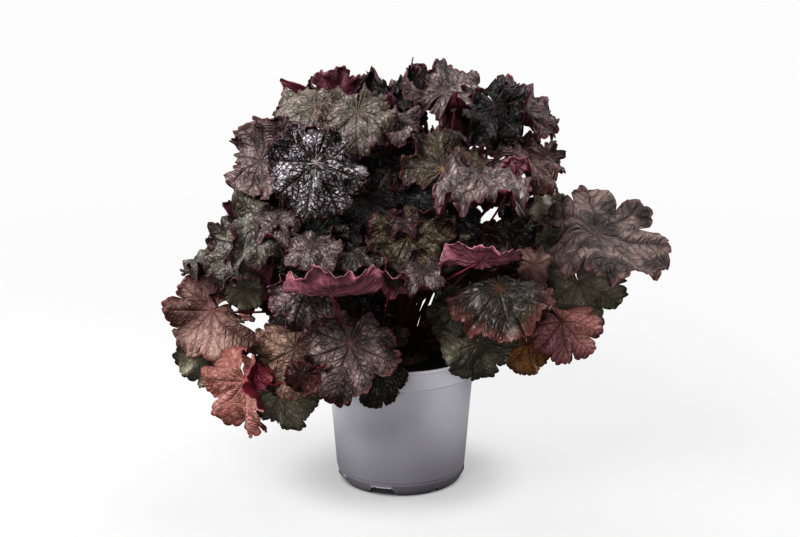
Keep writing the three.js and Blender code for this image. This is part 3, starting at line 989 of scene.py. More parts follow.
class Blade:
    """One blade as a closed shell with an upper side, an underside and a margin."""

    THICK = 0.55 * MM
    HUB = 0.06
    OUTER_RINGS = (0.94, 0.975, 1.0)
    CELL = 0.17
    BULGE = 0.035
    GROOVE = 0.011
    GROOVE_WIDTH = 0.025
    LOBE_TILT = 0.11
    CRUMPLE_LENGTH = 0.8
    RUFFLE_LENGTH = 0.4
    CRIMP_LENGTH = 0.18
    UV_SPREAD = 50

    def __init__(
        self, pose: Pose, form: Form, habit: Habit, detail: Detail, rng: np.random.Generator
    ) -> None:
        """Keeps what shapes the blade and draws its margin.

        Args:
            pose: where the blade is.
            form: its broad shape.
            habit: its ruffles and curls.
            detail: how finely it is sampled.
            rng: source of its irregularities.
        """
        self.pose, self.form, self.habit, self.rng = pose, form, habit, rng
        per_tooth, self.rings = detail.value
        self.margin = Margin(per_tooth, habit.lobing, rng)

    def shell(self) -> Shell:
        """Bends the flat blade to its shape and gives it a thickness.

        Returns:
            The closed shell, with the upper side in slot 0 and the underside in slot 1. Each point
            of the upper side is joint + size * (radius * ray + height * normal), and the underside
            lies THICK below it.
        """
        margin = self.margin
        inner = np.linspace(self.HUB, self.OUTER_RINGS[0], self.rings - 2)
        rho = np.concatenate([inner, self.OUTER_RINGS[1:]])[:, None] * np.ones_like(margin.radius)
        radius = rho * margin.soft + (margin.radius - margin.soft) * rho**4
        angle = margin.angle * np.ones_like(rho)
        flat = radius[..., None] * np.stack([np.cos(angle), np.sin(angle)], -1)
        height = self.form.height(flat[..., 0], flat[..., 1], rho, angle)
        height += self.relief(flat, rho) + self.waves(flat, rho, angle)
        radius, height = self.rolled(radius, height, rho, angle)

        pose = self.pose
        ray = np.cos(angle)[..., None] * pose.midrib + np.sin(angle)[..., None] * pose.side
        top = pose.joint + pose.size * (radius[..., None] * ray + height[..., None] * pose.normal)
        normals = unit(np.cross(np.gradient(top, axis=0), np.gradient(top, axis=1)))
        bottom = top - self.THICK * normals
        return self.closed(top, bottom, flat, rho)

    def relief(self, flat: Array, rho: Array) -> Array:
        """Height of the bulges beside each midvein, its groove and the folds between the veins.

        Args:
            flat: places in the flat blade.
            rho: share of the way to the margin.

        Returns:
            Height at each place: the folds rise where the nearest of a jittered grid of centres
            is much nearer than the next.
        """
        margin = self.margin
        s = np.abs(margin.across) * np.ones_like(rho)
        along, across = margin.lobe_place(flat[..., 0], flat[..., 1], margin.lobe)
        bulge = self.BULGE * np.sin(np.pi * s) * ease(0.15, 0.8, rho)
        groove = self.GROOVE * np.exp(-((across / self.GROOVE_WIDTH) ** 2))
        groove = groove * ease(0.03, 0.2, rho) * (1 - 0.6 * rho)
        line = np.arange(-1.15, 1.15, self.CELL)
        centres = np.stack(np.meshgrid(line, line), -1).reshape(-1, 2)
        centres = centres + self.rng.uniform(-0.45, 0.45, centres.shape) * self.CELL
        away = np.linalg.norm(flat[..., None, :] - centres, axis=-1)
        nearest = np.partition(away, 1, axis=-1)
        fold = ease(0.0, 0.7, (nearest[..., 1] - nearest[..., 0]) / self.CELL)
        return bulge - groove + self.habit.pucker * (fold - 0.5) * ease(0.05, 0.25, rho)

    def waves(self, flat: Array, rho: Array, angle: Array) -> Array:
        """Height of the lobes' own tilt, the broad crumple and the ruffled margin.

        Args:
            flat: places in the flat blade.
            rho: share of the way to the margin.
            angle: heading of each spoke.

        Returns:
            Height at each place. The ruffle is a sine round the joint with random ripples on it.
        """
        margin, rng, habit = self.margin, self.rng, self.habit
        tilt = rng.normal(0, self.LOBE_TILT, len(margin.axes))[margin.lobe]
        height = tilt * ease(0.4, 1.0, rho) * (1 - margin.across**2)
        crumple = ripples(flat, 6, self.CRUMPLE_LENGTH, rng)
        height = height + habit.crumple * crumple * ease(0.1, 0.5, rho)
        turns = rng.integers(7, 12)
        ruffle = np.sin(turns * angle + rng.uniform(0, 6.3))
        ruffle = ruffle + 0.6 * ripples(flat, 6, self.RUFFLE_LENGTH, rng)
        crimp = 0.7 * ripples(flat, 8, self.CRIMP_LENGTH, rng) * ease(0.7, 1.0, rho)
        return height + habit.ruffle * (ease(0.5, 1.0, rho) * ruffle + crimp)

    def rolled(self, radius: Array, height: Array, rho: Array, angle: Array) -> tuple[Array, Array]:
        """Rolls stretches of the margin: past its start, a spoke goes on round an arc.

        Args:
            radius: place along each spoke.
            height: height over the blade's plane.
            rho: share of the way to the margin.
            angle: heading of each spoke.

        Returns:
            The radius and height after the roll.
        """
        heading = (np.degrees(angle) + 180) % 360 - 180
        for curl in self.habit.curls:
            away = np.abs((heading - curl.at + 180) % 360 - 180)
            weight = np.cos(np.clip(away / curl.spread, 0, 1) * np.pi / 2) ** 2
            start = radius[np.argmin(np.abs(rho[:, 0] - curl.start))]
            past = np.maximum(radius - start, 0)
            bend = np.radians(curl.turn) * weight * ease(curl.start, 1.0, rho)
            safe = np.where(np.abs(bend) < 1e-4, 1e-4, bend)
            radius = np.where(past > 0, start + past * np.sin(safe) / safe, radius)
            height = height + past * (1 - np.cos(safe)) / safe
        return radius, height

    def closed(self, top: Array, bottom: Array, flat: Array, rho: Array) -> Shell:
        """Joins both sides, their hubs and the margin into one shell.

        Args:
            top: grid of points of the upper side.
            bottom: grid of points of the underside.
            flat: their places in the flat blade.
            rho: their share of the way to the margin.

        Returns:
            The closed shell.
        """
        margin = self.margin
        rings, columns = top.shape[:2]
        count = rings * columns + 1
        hubs = [top[0].mean(0), bottom[0].mean(0)]
        points = np.concatenate([top.reshape(-1, 3), hubs[:1], bottom.reshape(-1, 3), hubs[1:]])
        quads = grid_faces(rings, columns, closed=False)
        first = np.arange(columns)
        after = (first + 1) % columns
        fan = np.stack([np.full(columns, count - 1), first, after, np.full(columns, -1)], -1)
        upper = np.concatenate([quads, fan])
        flipped = np.where(upper[:, 3:] < 0, upper[:, [0, 2, 1, 3]], upper[:, ::-1])
        lower = np.where(flipped < 0, -1, flipped + count)
        spoke = np.arange(rings) * columns
        back = spoke[::-1] + columns - 1
        loop = np.concatenate([spoke[:-1], (rings - 1) * columns + first, back[1:]])
        ahead = np.roll(loop, -1)
        wall = np.stack([loop, loop + count, ahead + count, ahead], -1)
        faces = np.concatenate([upper, lower, wall])
        slots = np.repeat([0, 1, 1], [len(upper), len(lower), len(wall)])

        places = np.concatenate([flat.reshape(-1, 2), [[0.0, 0.0]]] * 2)
        at_corners = places[np.maximum(faces, 0)]
        side_lobes = np.concatenate([np.tile(margin.lobe[:-1], rings - 1), margin.lobe])
        lobe = np.concatenate([side_lobes, side_lobes, margin.lobe[loop % columns]])[:, None]
        lobe_uv = np.stack(margin.lobe_place(at_corners[..., 0], at_corners[..., 1], lobe), -1)
        marks = np.stack([rho, flat[..., 1], np.zeros_like(rho)], -1).reshape(-1, 3)
        marks = np.concatenate([marks, [[0.0, 0.0, 0.0]]] * 2)
        offset = self.rng.uniform(0, self.UV_SPREAD, 2)
        return Shell(points, faces, slots, lobe_uv, at_corners + offset, marks)


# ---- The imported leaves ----
class Cage:
    """A packed leaf solid, read back as its petiole's course and its blade's pose and form.

    The blade's joint has one neighbour on each spoke, RING of the way to the margin, and they
    and the joint are joint + size * (x * midrib + y * side + height * normal). Least squares give
    the pose and form for each corner with that many neighbours and each spoke as the first, and
    the fit with the smallest error is the true one.
    """

    MERGE = 0.005 * MM
    RING = 0.34
    SHARES = (0.81, 0.94, 0.74, 0.87, 0.67, 0.77, 0.55)
    ANGLES = (21, 41, 62, 84, 106, 129, 160)
    PETIOLE_SIDES = 5

    def __init__(self, node: str) -> None:
        """Reads the node's mesh and merges the corners that its triangles share.

        Args:
            node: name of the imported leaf.
        """
        mesh = frame["nodes"][node].data
        corners = np.empty(len(mesh.vertices) * 3, np.float32)
        mesh.vertices.foreach_get("co", corners)
        triangles = np.empty(len(mesh.loops), np.int32)
        mesh.loops.foreach_get("vertex_index", triangles)
        places = corners.reshape(-1, 3).astype(float)
        grid = np.round(places / self.MERGE).astype(np.int64)
        _, first, merged = np.unique(grid, axis=0, return_index=True, return_inverse=True)
        self.points = places[first]
        self.triangles = merged.reshape(-1)[triangles].reshape(-1, 3)
        self.beyond: dict[tuple[int, int], int] = {}
        for a, b, c in self.triangles.tolist():
            self.beyond.update({(a, b): c, (b, c): a, (c, a): b})

    def ring(self, hub: int) -> list[int]:
        """The neighbours of a corner, once round in the triangles' own sense.

        Args:
            hub: number of the corner.

        Returns:
            Numbers of its neighbours.
        """
        ring = [next(b for a, b in self.beyond if a == hub)]
        while (after := self.beyond[(hub, ring[-1])]) != ring[0]:
            ring.append(after)
        return ring

    def fit(self) -> tuple[Pose, Form]:
        """Finds the pose and form that the blade was made with.

        Returns:
            The pose and the form of the best fit.
        """
        half = np.array(self.ANGLES)
        angle = np.radians(np.concatenate([-half[::-1], [0], half]))
        share = self.RING * np.concatenate([self.SHARES[::-1], [1.0], self.SHARES])
        x, y = share * np.cos(angle), share * np.sin(angle)
        shapes = Form.basis(x, y, np.full(len(angle), self.RING), angle)
        spokes = np.column_stack([np.ones(len(angle)), x, y, shapes])
        joint = np.eye(1, spokes.shape[1])
        system = np.concatenate([spokes, joint])
        solver = np.linalg.pinv(system)
        counts = np.bincount(self.triangles.ravel())
        fits = []
        for hub in np.flatnonzero(counts == len(angle)):
            ring = self.ring(int(hub))
            for turned in range(len(ring)):
                corners = self.points[[*ring[turned:], *ring[:turned], hub]]
                values = solver @ corners
                fits.append((np.abs(system @ values - corners).max(), values))
        error, values = min(fits, key=lambda row: row[0])
        LOG.debug("leaf fitted within %.4f mm", error / MM)
        size = np.linalg.norm(values[1])
        pose = Pose(values[0], unit(values[1]), unit(values[2]), size)
        return pose, Form(*(values[3:] @ pose.normal / size))

    def course(self) -> Array:
        """Walks up the petiole's rings of corners, from the one nearest the crown's heart.

        Returns:
            Middle points of the petiole, from the crown to just under the joint.
        """
        low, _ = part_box("crown")
        heart = np.array([0, 0, low.z])
        away = np.linalg.norm(self.points - heart, axis=1)
        layer = set(np.argsort(away)[: self.PETIOLE_SIDES].tolist())
        neighbours: dict[int, set[int]] = {}
        for a, b in self.beyond:
            neighbours.setdefault(a, set()).add(b)
            neighbours.setdefault(b, set()).add(a)
        seen, middles = set(layer), []
        while len(layer) == self.PETIOLE_SIDES:
            middles.append(self.points[sorted(layer)].mean(0))
            layer = set().union(*(neighbours[i] for i in layer)) - seen
            seen |= layer
        return np.array(middles)


class Petiole:
    """A leaf's stalk: a tube with a sheath at the crown, a little wider again at the blade."""

    RADIUS = 0.95 * MM
    TAPER = (1.1, 0.2)
    SHEATH = 0.9
    SHEATH_LENGTH = 7 * MM
    FLARE = 0.25
    UNDER_JOINT = 0.4 * MM
    SIDES = 10
    RINGS = 24

    def __init__(self, course: Array, pose: Pose) -> None:
        """Keeps a course from the crown and ends it in the blade's joint."""
        end = pose.joint - self.UNDER_JOINT * pose.normal
        self.knots = np.concatenate([course, [end]])

    @classmethod
    def new_course(cls, pose: Pose, bow: float) -> Array:
        """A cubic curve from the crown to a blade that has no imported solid.

        Args:
            pose: pose of the blade.
            bow: how far the curve is pushed sideways.

        Returns:
            Points from the crown to just before the joint.
        """
        low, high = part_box("crown")
        heart = np.array([0, 0, low.z])
        spans = np.array([high.x - MM, high.y - MM, high.z - low.z - MM])
        heading = unit(pose.joint - heart)
        start = heart + spans * heading
        leave = unit(unit(heading / spans) + UP)
        chord = pose.joint - start
        length = np.linalg.norm(chord)
        outward = pose.normal @ chord > 0
        arrive = unit(1.8 * pose.normal + chord / length) if outward else unit(pose.normal + UP)
        sway = bow * unit(np.cross(chord, UP))
        knots = (
            start,
            start + 0.35 * length * leave + sway,
            pose.joint - 0.3 * length * arrive + sway,
            pose.joint,
        )
        t = np.linspace(0, 0.93, 7)[:, None]
        weights = ((1 - t) ** 3, 3 * t * (1 - t) ** 2, 3 * t**2 * (1 - t), t**3)
        return sum(weight * knot for weight, knot in zip(weights, knots))

    def shell(self, slot: int) -> Shell:
        """The stalk's closed tube in a material slot.

        Args:
            slot: material index.

        Returns:
            The shell. Its radius tapers, with a bell of SHEATH_LENGTH at the crown and a flare at the
            blade.
        """
        course = self.smooth(self.knots, self.RINGS)
        share = np.linspace(0, 1, self.RINGS)
        length = np.linalg.norm(np.diff(course, axis=0), axis=1).sum()
        sheath = self.SHEATH * np.exp(-((share * length / self.SHEATH_LENGTH) ** 2))
        flare = self.FLARE * ease(0.93, 1.0, share)
        radii = self.RADIUS * (self.TAPER[0] - self.TAPER[1] * share + sheath + flare)
        points, faces, uv = tube(course, radii, self.SIDES)
        return plain_shell(points, faces, uv, slot, share=uv[:, 0])

    @staticmethod
    def smooth(knots: Array, count: int) -> Array:
        """A Catmull-Rom curve through the knots.

        Args:
            knots: points that it goes through.
            count: how many points are wanted.

        Returns:
            Points at even steps of its length.
        """
        ends = np.concatenate([[2 * knots[0] - knots[1]], knots, [2 * knots[-1] - knots[-2]]])
        t = np.linspace(0, 1, 12, endpoint=False)[:, None, None]
        a, b, c, d = ends[:-3], ends[1:-2], ends[2:-1], ends[3:]
        curve = 0.5 * (
            2 * b
            + (c - a) * t
            + (2 * a - 5 * b + 4 * c - d) * t**2
            + (3 * b - 3 * c + d - a) * t**3
        )
        curve = np.concatenate([curve.transpose(1, 0, 2).reshape(-1, 3), knots[-1:]])
        travelled = np.concatenate([[0], np.linalg.norm(np.diff(curve, axis=0), axis=1).cumsum()])
        even = np.linspace(0, travelled[-1], count)
        return np.stack([np.interp(even, travelled, curve[:, axis]) for axis in range(3)], -1)


# ---- Foliage ----
RUFFLED = (
    Curl(-135, 34, 160), Curl(-65, 30, 140), Curl(0, 34, 170), Curl(70, 30, 150), Curl(135, 30, 130),
)
DRAPED = (Curl(-90, 34, -60), Curl(10, 40, -50), Curl(110, 30, 140))
MILD = (Curl(-60, 30, 40), Curl(60, 30, 50))
FOLDED_BACK = (Curl(150, 60, -150, 0.2), Curl(-150, 60, -150, 0.2))
FOLDED_OVER = (Curl(150, 46, 110, 0.2), Curl(-150, 46, 110, 0.2))
NARROW = (Curl(120, 80, 160, 0.2), Curl(-120, 80, 160, 0.2))

# What sets single leaves apart. A leaf that isn't listed has the finish of its material slot and
# curls drawn at random, and so has one whose row doesn't give them.
NODE_HABITS = {
    "leaf_upper_01": Habit(
        GUNMETAL, ruffle=0.09, curls=(Curl(120, 30, 110), Curl(-110, 26, 100), Curl(-20, 20, -50)),
    ),
    "leaf_upper_02": Habit(
        TAUPE, ruffle=0.08, lobing=0.3, scale=0.82,
        curls=(Curl(-120, 45, 180, 0.5), Curl(-60, 30, 150), Curl(60, 40, 150, 0.5)),
    ),
    "leaf_upper_03": Habit(PEWTER, scale=0.93, curls=(Curl(-70, 26, 110, 0.7), Curl(60, 30, -70))),
    "leaf_upper_04": Habit(
        PEWTER, scale=0.84, lobing=0.4,
        curls=(Curl(-85, 55, -100, 0.45), Curl(-150, 40, -110, 0.3), Curl(0, 26, 150, 0.75)),
    ),
    "leaf_upper_05": Habit(
        BLACK, ruffle=0.15, crumple=0.14,
        curls=(Curl(-100, 50, 170, 0.5), Curl(60, 40, 150, 0.6), Curl(180, 44, -110, 0.3)),
    ),
    "leaf_upper_07": Habit(ROSE_ASH, curls=(Curl(-70, 24, 130), Curl(60, 26, 160, 0.7))),
    "leaf_upper_08": Habit(
        WINE, pucker=0.045, scale=0.9,
        curls=(Curl(-105, 48, 190, 0.32), Curl(150, 36, -80), Curl(40, 20, 60)),
    ),
    "leaf_upper_09": Habit(TAUPE, scale=0.78),
    "leaf_upper_10": Habit(
        BLACK, ruffle=0.16, curls=(Curl(0, 50, 150), Curl(110, 40, 170), Curl(-110, 40, 170)),
    ),
    "leaf_upper_11": Habit(
        WINE, scale=1.12, curls=(*FOLDED_OVER, Curl(80, 50, 130, 0.3), Curl(-80, 50, 130, 0.3)),
    ),
    "leaf_upper_13": Habit(TAUPE, scale=0.8),
    "leaf_upper_15": Habit(scale=0.72),
    "leaf_middle_01": Habit(
        TAUPE, pucker=0.035, ruffle=0.13, lobing=0.3, scale=0.9, nod=-10,
        curls=(Curl(-150, 46, 170, 0.4), Curl(80, 36, 150), Curl(0, 26, 90)),
    ),
    "leaf_middle_02": Habit(
        GILT, ruffle=0.09, curls=(*FOLDED_BACK, Curl(40, 26, 60, 0.7), Curl(-80, 26, -60)),
    ),
    "leaf_middle_03": Habit(GOLDEN, scale=0.78, curls=(Curl(-100, 40, -90), Curl(100, 36, 140))),
    "leaf_middle_04": Habit(
        GOLDEN, curls=(Curl(-60, 30, 150), Curl(60, 34, -80), Curl(140, 34, 160)),
    ),
    "leaf_middle_05": Habit(INK),
    "leaf_middle_08": Habit(
        ROSEWOOD, ruffle=0.05, crumple=0.08, lobing=1.2, scale=0.94, roll=-17,
        curls=(Curl(165, 40, -110, 0.3), Curl(-135, 34, -90, 0.4)),
    ),
    "leaf_middle_10": Habit(
        MAROON, ruffle=0.13, scale=0.8, nod=-28,
        curls=(*FOLDED_BACK, Curl(60, 30, 120), Curl(-40, 26, 90)),
    ),
    "leaf_middle_11": Habit(SAGE_PAINTED_LIT),
    "leaf_middle_13": Habit(PLUM),
    "leaf_middle_14": Habit(
        PLUM, ruffle=0.06, lobing=0.3, scale=1.1, nod=8,
        curls=(*FOLDED_OVER, Curl(60, 26, 90, 0.7)),
    ),
    "leaf_middle_15": Habit(
        PLUM, ruffle=0.05, lobing=0.3, scale=0.95, nod=10,
        curls=(*FOLDED_OVER, Curl(-70, 26, 90, 0.7)),
    ),
    "leaf_middle_19": Habit(scale=0.72),
    "leaf_middle_21": Habit(scale=0.66),
    "leaf_lower_01": Habit(
        MAUVE, ruffle=0.14, scale=0.84,
        curls=(
            Curl(-140, 50, -70, 0.35), Curl(140, 50, -70, 0.35), Curl(-30, 24, -70),
            Curl(60, 22, 110, 0.7),
        ),
    ),
    "leaf_lower_02": Habit(
        COPPER, ruffle=0.07, lobing=0.9, scale=0.84,
        curls=(Curl(155, 90, -170, 0.12), Curl(40, 20, 110, 0.75)),
    ),
    "leaf_lower_03": Habit(
        TERRACOTTA, ruffle=0.06, lobing=0.7, scale=0.84,
        curls=(Curl(100, 46, 100, 0.5), Curl(-150, 40, -60, 0.4)),
    ),
    "leaf_lower_04": Habit(
        ORCHID, ruffle=0.08, lobing=0.9, scale=0.8,
        curls=(Curl(120, 70, -170, 0.1), Curl(-150, 50, -120, 0.25), Curl(60, 24, 80, 0.7)),
    ),
    "leaf_lower_05": Habit(
        SAGE, ruffle=0.06, scale=0.82, nod=36, curls=(*FOLDED_BACK, Curl(40, 20, 50, 0.7)),
    ),
    "leaf_lower_06": Habit(SAGE_PAINTED_LIT),
    "leaf_lower_07": Habit(OLIVE, scale=0.77, curls=(Curl(-60, 30, -60), Curl(60, 30, -50))),
    "leaf_lower_08": Habit(
        FAWN, ruffle=0.14, crumple=0.12, curls=(Curl(-80, 30, 110), *FOLDED_BACK),
    ),
    "leaf_lower_09": Habit(SAGE_PAINTED_LIT),
    "leaf_lower_12": Habit(SAGE_PAINTED_LIT),
    "leaf_lower_15": Habit(scale=0.8),
    "leaf_lower_18": Habit(scale=0.62),
}

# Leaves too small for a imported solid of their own. Each row: finish, bearing, reach and height of
# the joint, bearing that the upper side faces, its lift, the tip's turn, blade length, curls.
SMALL_LEAVES = (
    (BRONZE, -23, 130, 299, -60, 10, 10, 20, DRAPED),
    (PLUM, -46, 132, 302, 95, 30, 160, 12, MILD),
    (WINE, -89, 122, 263, -95, 50, 0, 17, RUFFLED),
    (WINE, -94, 118, 250, -80, 40, 30, 14, RUFFLED),
    (BLACK, -131, 121, 313, -112, 35, -10, 26, RUFFLED),
    (PLUM, -93, 128, 215, 92, 45, 180, 26, MILD),
    (TAUPE, -116, 156, 249, -105, 62, 0, 25, DRAPED),
    (OLIVE, -106, 141, 240, -80, 60, 20, 20, RUFFLED),
    (TAUPE, -83, 147, 228, -85, 60, 0, 22, RUFFLED),
    (COPPER, -46, 154, 224, -70, 30, 60, 18, DRAPED),
    (SAGE, -161, 150, 200, -110, 15, 10, 17, MILD),
    (SAGE_PAINTED_LIT, -152, 147, 193, -98, 10, 0, 19, MILD),
    (BLACK, -163, 104, 178, -100, 20, 0, 24, DRAPED),
    (OLIVE, -144, 112, 166, -95, 20, -10, 24, DRAPED),
    (BLACK, -140, 104, 116, -95, 12, 0, 26, DRAPED),
    (TERRACOTTA, -135, 165, 136, 95, 0, -10, 15, NARROW),
    (PLUM, -92, 74, 154, -90, 10, 0, 12, RUFFLED),
    (BLACK, -68, 16, 337, -85, 30, 0, 22, RUFFLED),
    (WINE, -148, 114, 326, -120, 20, 0, 16, RUFFLED),
    (WINE, -144, 118, 310, 80, 10, 20, 14, MILD),
    (BLACK, -104, 72, 293, -90, 30, 0, 26, RUFFLED),
    (MAROON, -110, 96, 269, -90, 30, 20, 24, RUFFLED),
    (OLIVE, -92, 126, 241, -85, 50, -20, 24, RUFFLED),
    (BLACK, -111, 126, 253, -100, 45, 10, 22, RUFFLED),
    (SAGE, -74, 116, 245, -80, 35, 20, 26, DRAPED),
    (MAROON, -62, 133, 238, -85, 30, 0, 22, RUFFLED),
    (INK, -81, 101, 275, -90, 30, 0, 24, RUFFLED),
    (BLACK, -68, 114, 264, -85, 30, 0, 24, DRAPED),
    (OLIVE, -157, 152, 225, -130, 40, -30, 24, RUFFLED),
    (BRONZE, -166, 170, 182, -130, 20, -30, 24, DRAPED),
    (TAUPE, -130, 154, 261, -110, 50, 0, 22, RUFFLED),
    (MAROON, -120, 115, 191, -95, 20, 0, 24, DRAPED),
    (BLACK, -106, 93, 180, -90, 15, 0, 22, DRAPED),
    (SAGE, -61, 115, 187, -85, 15, 10, 28, DRAPED),
    (BLACK, -39, 127, 185, -80, 15, 0, 24, DRAPED),
    (RUSSET, -116, 176, 147, -96, 8, -15, 17, MILD),
)


@dataclass
class Foliage:
    """All leaves: one for each packed leaf, and the small ones between them.

    Attributes:
        front_to: bearing in degrees up to which a leaf counts as one at the front.
        inner: places on the dome inside the outer leaves.
        dome: radius of that dome, its rise and the height of its foot.
        hollows: stretches of the dome without leaves: a bearing, a half width and a height.
        inner_finishes: finishes that its leaves draw from.
        finishes: materials made so far, by the name of the finish.
    """

    front_to: float = 5.0
    inner: int = 32
    dome: tuple[float, float, float] = (0.118, 0.16, 0.15)
    hollows: tuple[tuple[float, float, float], ...] = (
        (-80, 38, 0.215),
        (-160, 22, 0.19),
        (-28, 21, 0.265),
    )
    inner_finishes: tuple[LeafFinish, ...] = (BLACK, INK, BLACK, WINE, INK, MAROON)
    finishes: dict[str, list[bpy.types.Material]] = field(default_factory=dict)

    def materials(self, finish: LeafFinish) -> list[bpy.types.Material]:
        """Upper side, underside and petiole of a finish, made once.

        Args:
            finish: the finish that is wanted.

        Returns:
            Its three materials.
        """
        if finish.name not in self.finishes:
            stalk = self.finishes.setdefault("stalk", [stalk_material()])
            self.finishes[finish.name] = [finish.upper_side(), finish.under_side(), *stalk]
        return self.finishes[finish.name]

    def leaf(
        self,
        name: str,
        pose: Pose,
        form: Form,
        habit: Habit,
        detail: Detail,
        course: Array,
        rng: np.random.Generator,
    ) -> bpy.types.Object:
        """Builds one leaf's blade and petiole as one piece.

        Args:
            name: name of the piece.
            pose: where the blade is.
            form: its broad shape.
            habit: what sets it apart, with a finish and curls.
            detail: how finely it is sampled.
            course: middle points of its petiole.
            rng: source of its irregularities.

        Returns:
            The piece.
        """
        blade = Blade(pose, form, habit, detail, rng).shell()
        stalk = Petiole(course, pose).shell(slot=2)
        return build_piece(name, [blade, stalk], self.materials(habit.finish))

    def grow(self) -> list[bpy.types.Object]:
        """Builds a live leaf in place of every packed one.

        Returns:
            The pieces.
        """
        pieces = []
        slots = {row["node"]: row["material_slot"] for row in frame["record"]["subparts"]}
        for k, node in enumerate(node for node in slots if node.startswith("leaf_")):
            rng = np.random.default_rng([SEED, k])
            cage = Cage(node)
            pose, form = cage.fit()
            habit = NODE_HABITS.get(node, Habit())
            pose = pose.turned(habit.nod, habit.roll, habit.scale)
            finish = habit.finish or TINT_FINISHES[slots[node]]
            curls = habit.curls or self.usual_curls(rng)
            habit = replace(habit, finish=finish, curls=curls)
            bearing = math.degrees(math.atan2(pose.joint[1], pose.joint[0]))
            near = Detail.HERO if node in NODE_HABITS else Detail.FINE
            detail = near if bearing < self.front_to else Detail.PLAIN
            piece = self.leaf(f"{node}_live", pose, form, habit, detail, cage.course(), rng)
            pieces.append(stand_in(piece, node))
        return pieces

    def grow_small(self) -> list[bpy.types.Object]:
        """Builds the small leaves of the list and those that fill the inside.

        Returns:
            The pieces.
        """
        pieces = []
        rows = [
            (finish, Pose.facing(polar(*place) * MM, faces, lift, turn, size * MM), curls)
            for finish, *place, faces, lift, turn, size, curls in SMALL_LEAVES
        ]
        inner = self.inner_leaves(np.random.default_rng([SEED, 500]))
        rows += [(finish, pose, ()) for finish, pose in inner]
        for k, (finish, pose, curls) in enumerate(rows, 1):
            rng = np.random.default_rng([SEED, 500, k])
            curls = curls or self.usual_curls(rng)
            cup, fold = rng.uniform(-0.3, -0.05), rng.uniform(0.1, 0.3)
            form = Form(cup, fold, -0.12, *rng.normal(0, 0.06, 2))
            habit = Habit(finish, ruffle=0.08, curls=curls)
            course = Petiole.new_course(pose, bow=rng.uniform(-12, 12) * MM)
            piece = self.leaf(f"leaf_small_{k:02d}", pose, form, habit, Detail.SMALL, course, rng)
            pieces.append(piece)
        return pieces

    def inner_leaves(self, rng: np.random.Generator) -> list[tuple[LeafFinish, Pose]]:
        """Leaves on a dome inside the outer ones, at bearings that are golden angles apart.

        Args:
            rng: source of their finishes and irregularities.

        Returns:
            A finish and a pose for each leaf that doesn't lie in one of the hollows.
        """
        golden = 180 * (3 - math.sqrt(5))
        radius, tall, foot = self.dome
        rows = []
        for k in range(self.inner):
            bearing = (k * golden + 180) % 360 - 180
            rise = math.radians(-8 + 90 * (k + 0.5) / self.inner)
            reach, height = radius * math.cos(rise), foot + tall * math.sin(rise)
            if any(abs(bearing - at) < wide and height < top for at, wide, top in self.hollows):
                continue
            finish = self.inner_finishes[rng.integers(len(self.inner_finishes))]
            lift = 25 + math.degrees(rise) * 0.6 + rng.normal(0, 8)
            faces, turn = bearing + rng.normal(0, 15), rng.normal(0, 40)
            size = rng.uniform(28, 38) * MM
            rows.append((finish, Pose.facing(polar(bearing, reach, height), faces, lift, turn, size)))
        return rows

    @staticmethod
    def usual_curls(rng: np.random.Generator) -> tuple[Curl, ...]:
        """A broad fold of the rear and six rolls of the margin, most of them up.

        Args:
            rng: source of their places and sizes.

        Returns:
            The curls, with the fold first.
        """
        places = np.arange(-150, 151, 60) + rng.uniform(-25, 25, 6)
        spreads = rng.uniform(16, 32, 6)
        turns = rng.uniform(80, 185, 6) * np.where(rng.uniform(size=6) < 0.33, -0.4, 1)
        starts = rng.uniform(0.6, 0.78, 6)
        rear = Curl(rng.uniform(100, 260), rng.uniform(40, 60), rng.uniform(-120, -50), 0.3)
        return (rear, *(Curl(*values) for values in zip(places, spreads, turns, starts)))


def stalk_material() -> bpy.types.Material:
    """Petioles: nearly black at the crown and dark red further up, with paler speckles.

    Returns:
        The material.
    """
    graph = Graph("petiole_red")
    speckle = graph.noise(graph.place(), 220.0, 3.0)
    along = graph.marks().part(0).ease(0.1, 0.9)
    colour = graph.mix(along, srgb(44, 18, 18), srgb(98, 32, 44))
    colour = graph.mix(speckle.ease(0.45, 0.7) * 0.3, colour, srgb(130, 62, 68))
    return graph.finish(
        Base_Color=colour,
        Roughness=0.38 + (speckle - 0.5) * 0.2,
        Normal=graph.bump(speckle, 0.3, 0.2 * MM),
    )


# ---- Pot, soil and crown ----
def rounded(corners: list[tuple[float, float, float]], steps: int = 4) -> Array:
    """A profile whose corners are rounded.

    Args:
        corners: rows of radius, height and how far from the corner its curve starts.
        steps: points on each curve.

    Returns:
        Points of the profile: each corner is a quadratic curve from one leg to the next.
    """
    places = np.array([corner[:2] for corner in corners])
    profile = [places[:1]]
    t = np.linspace(0, 1, steps)[:, None]
    for before, corner, after, row in zip(places, places[1:], places[2:], corners[1:]):
        start = corner + row[2] * unit(before - corner)
        end = corner + row[2] * unit(after - corner)
        profile.append((1 - t) ** 2 * start + 2 * t * (1 - t) * corner + t**2 * end)
    return np.concatenate([*profile, places[-1:]])


def revolved(profile: Array, segments: int) -> tuple[Array, Array, Array]:
    """A profile carried round Z, with its ends on the axis closed to poles.

    Args:
        profile: radius and height from the lower pole up the outside to the upper pole.
        segments: points round each ring.

    Returns:
        Points, faces facing out, and for each point its turn and its share of the profile.
    """
    turn = np.linspace(0, 2 * np.pi, segments, endpoint=False)
    body = profile[1:-1]
    rows = len(body)
    radius, height = body[:, :1], body[:, 1:] * np.ones_like(turn)
    points = np.stack([radius * np.cos(turn), radius * np.sin(turn), height], -1).reshape(-1, 3)
    uv = np.stack(np.broadcast_arrays(turn / (2 * np.pi), np.linspace(0, 1, rows)[:, None]), -1)
    poles = np.array([[0, 0, profile[0, 1]], [0, 0, profile[-1, 1]]])
    return (
        np.concatenate([points, poles]),
        ring_faces(rows, segments),
        np.concatenate([uv.reshape(-1, 2), [[0.5, 0.0], [0.5, 1.0]]]),
    )


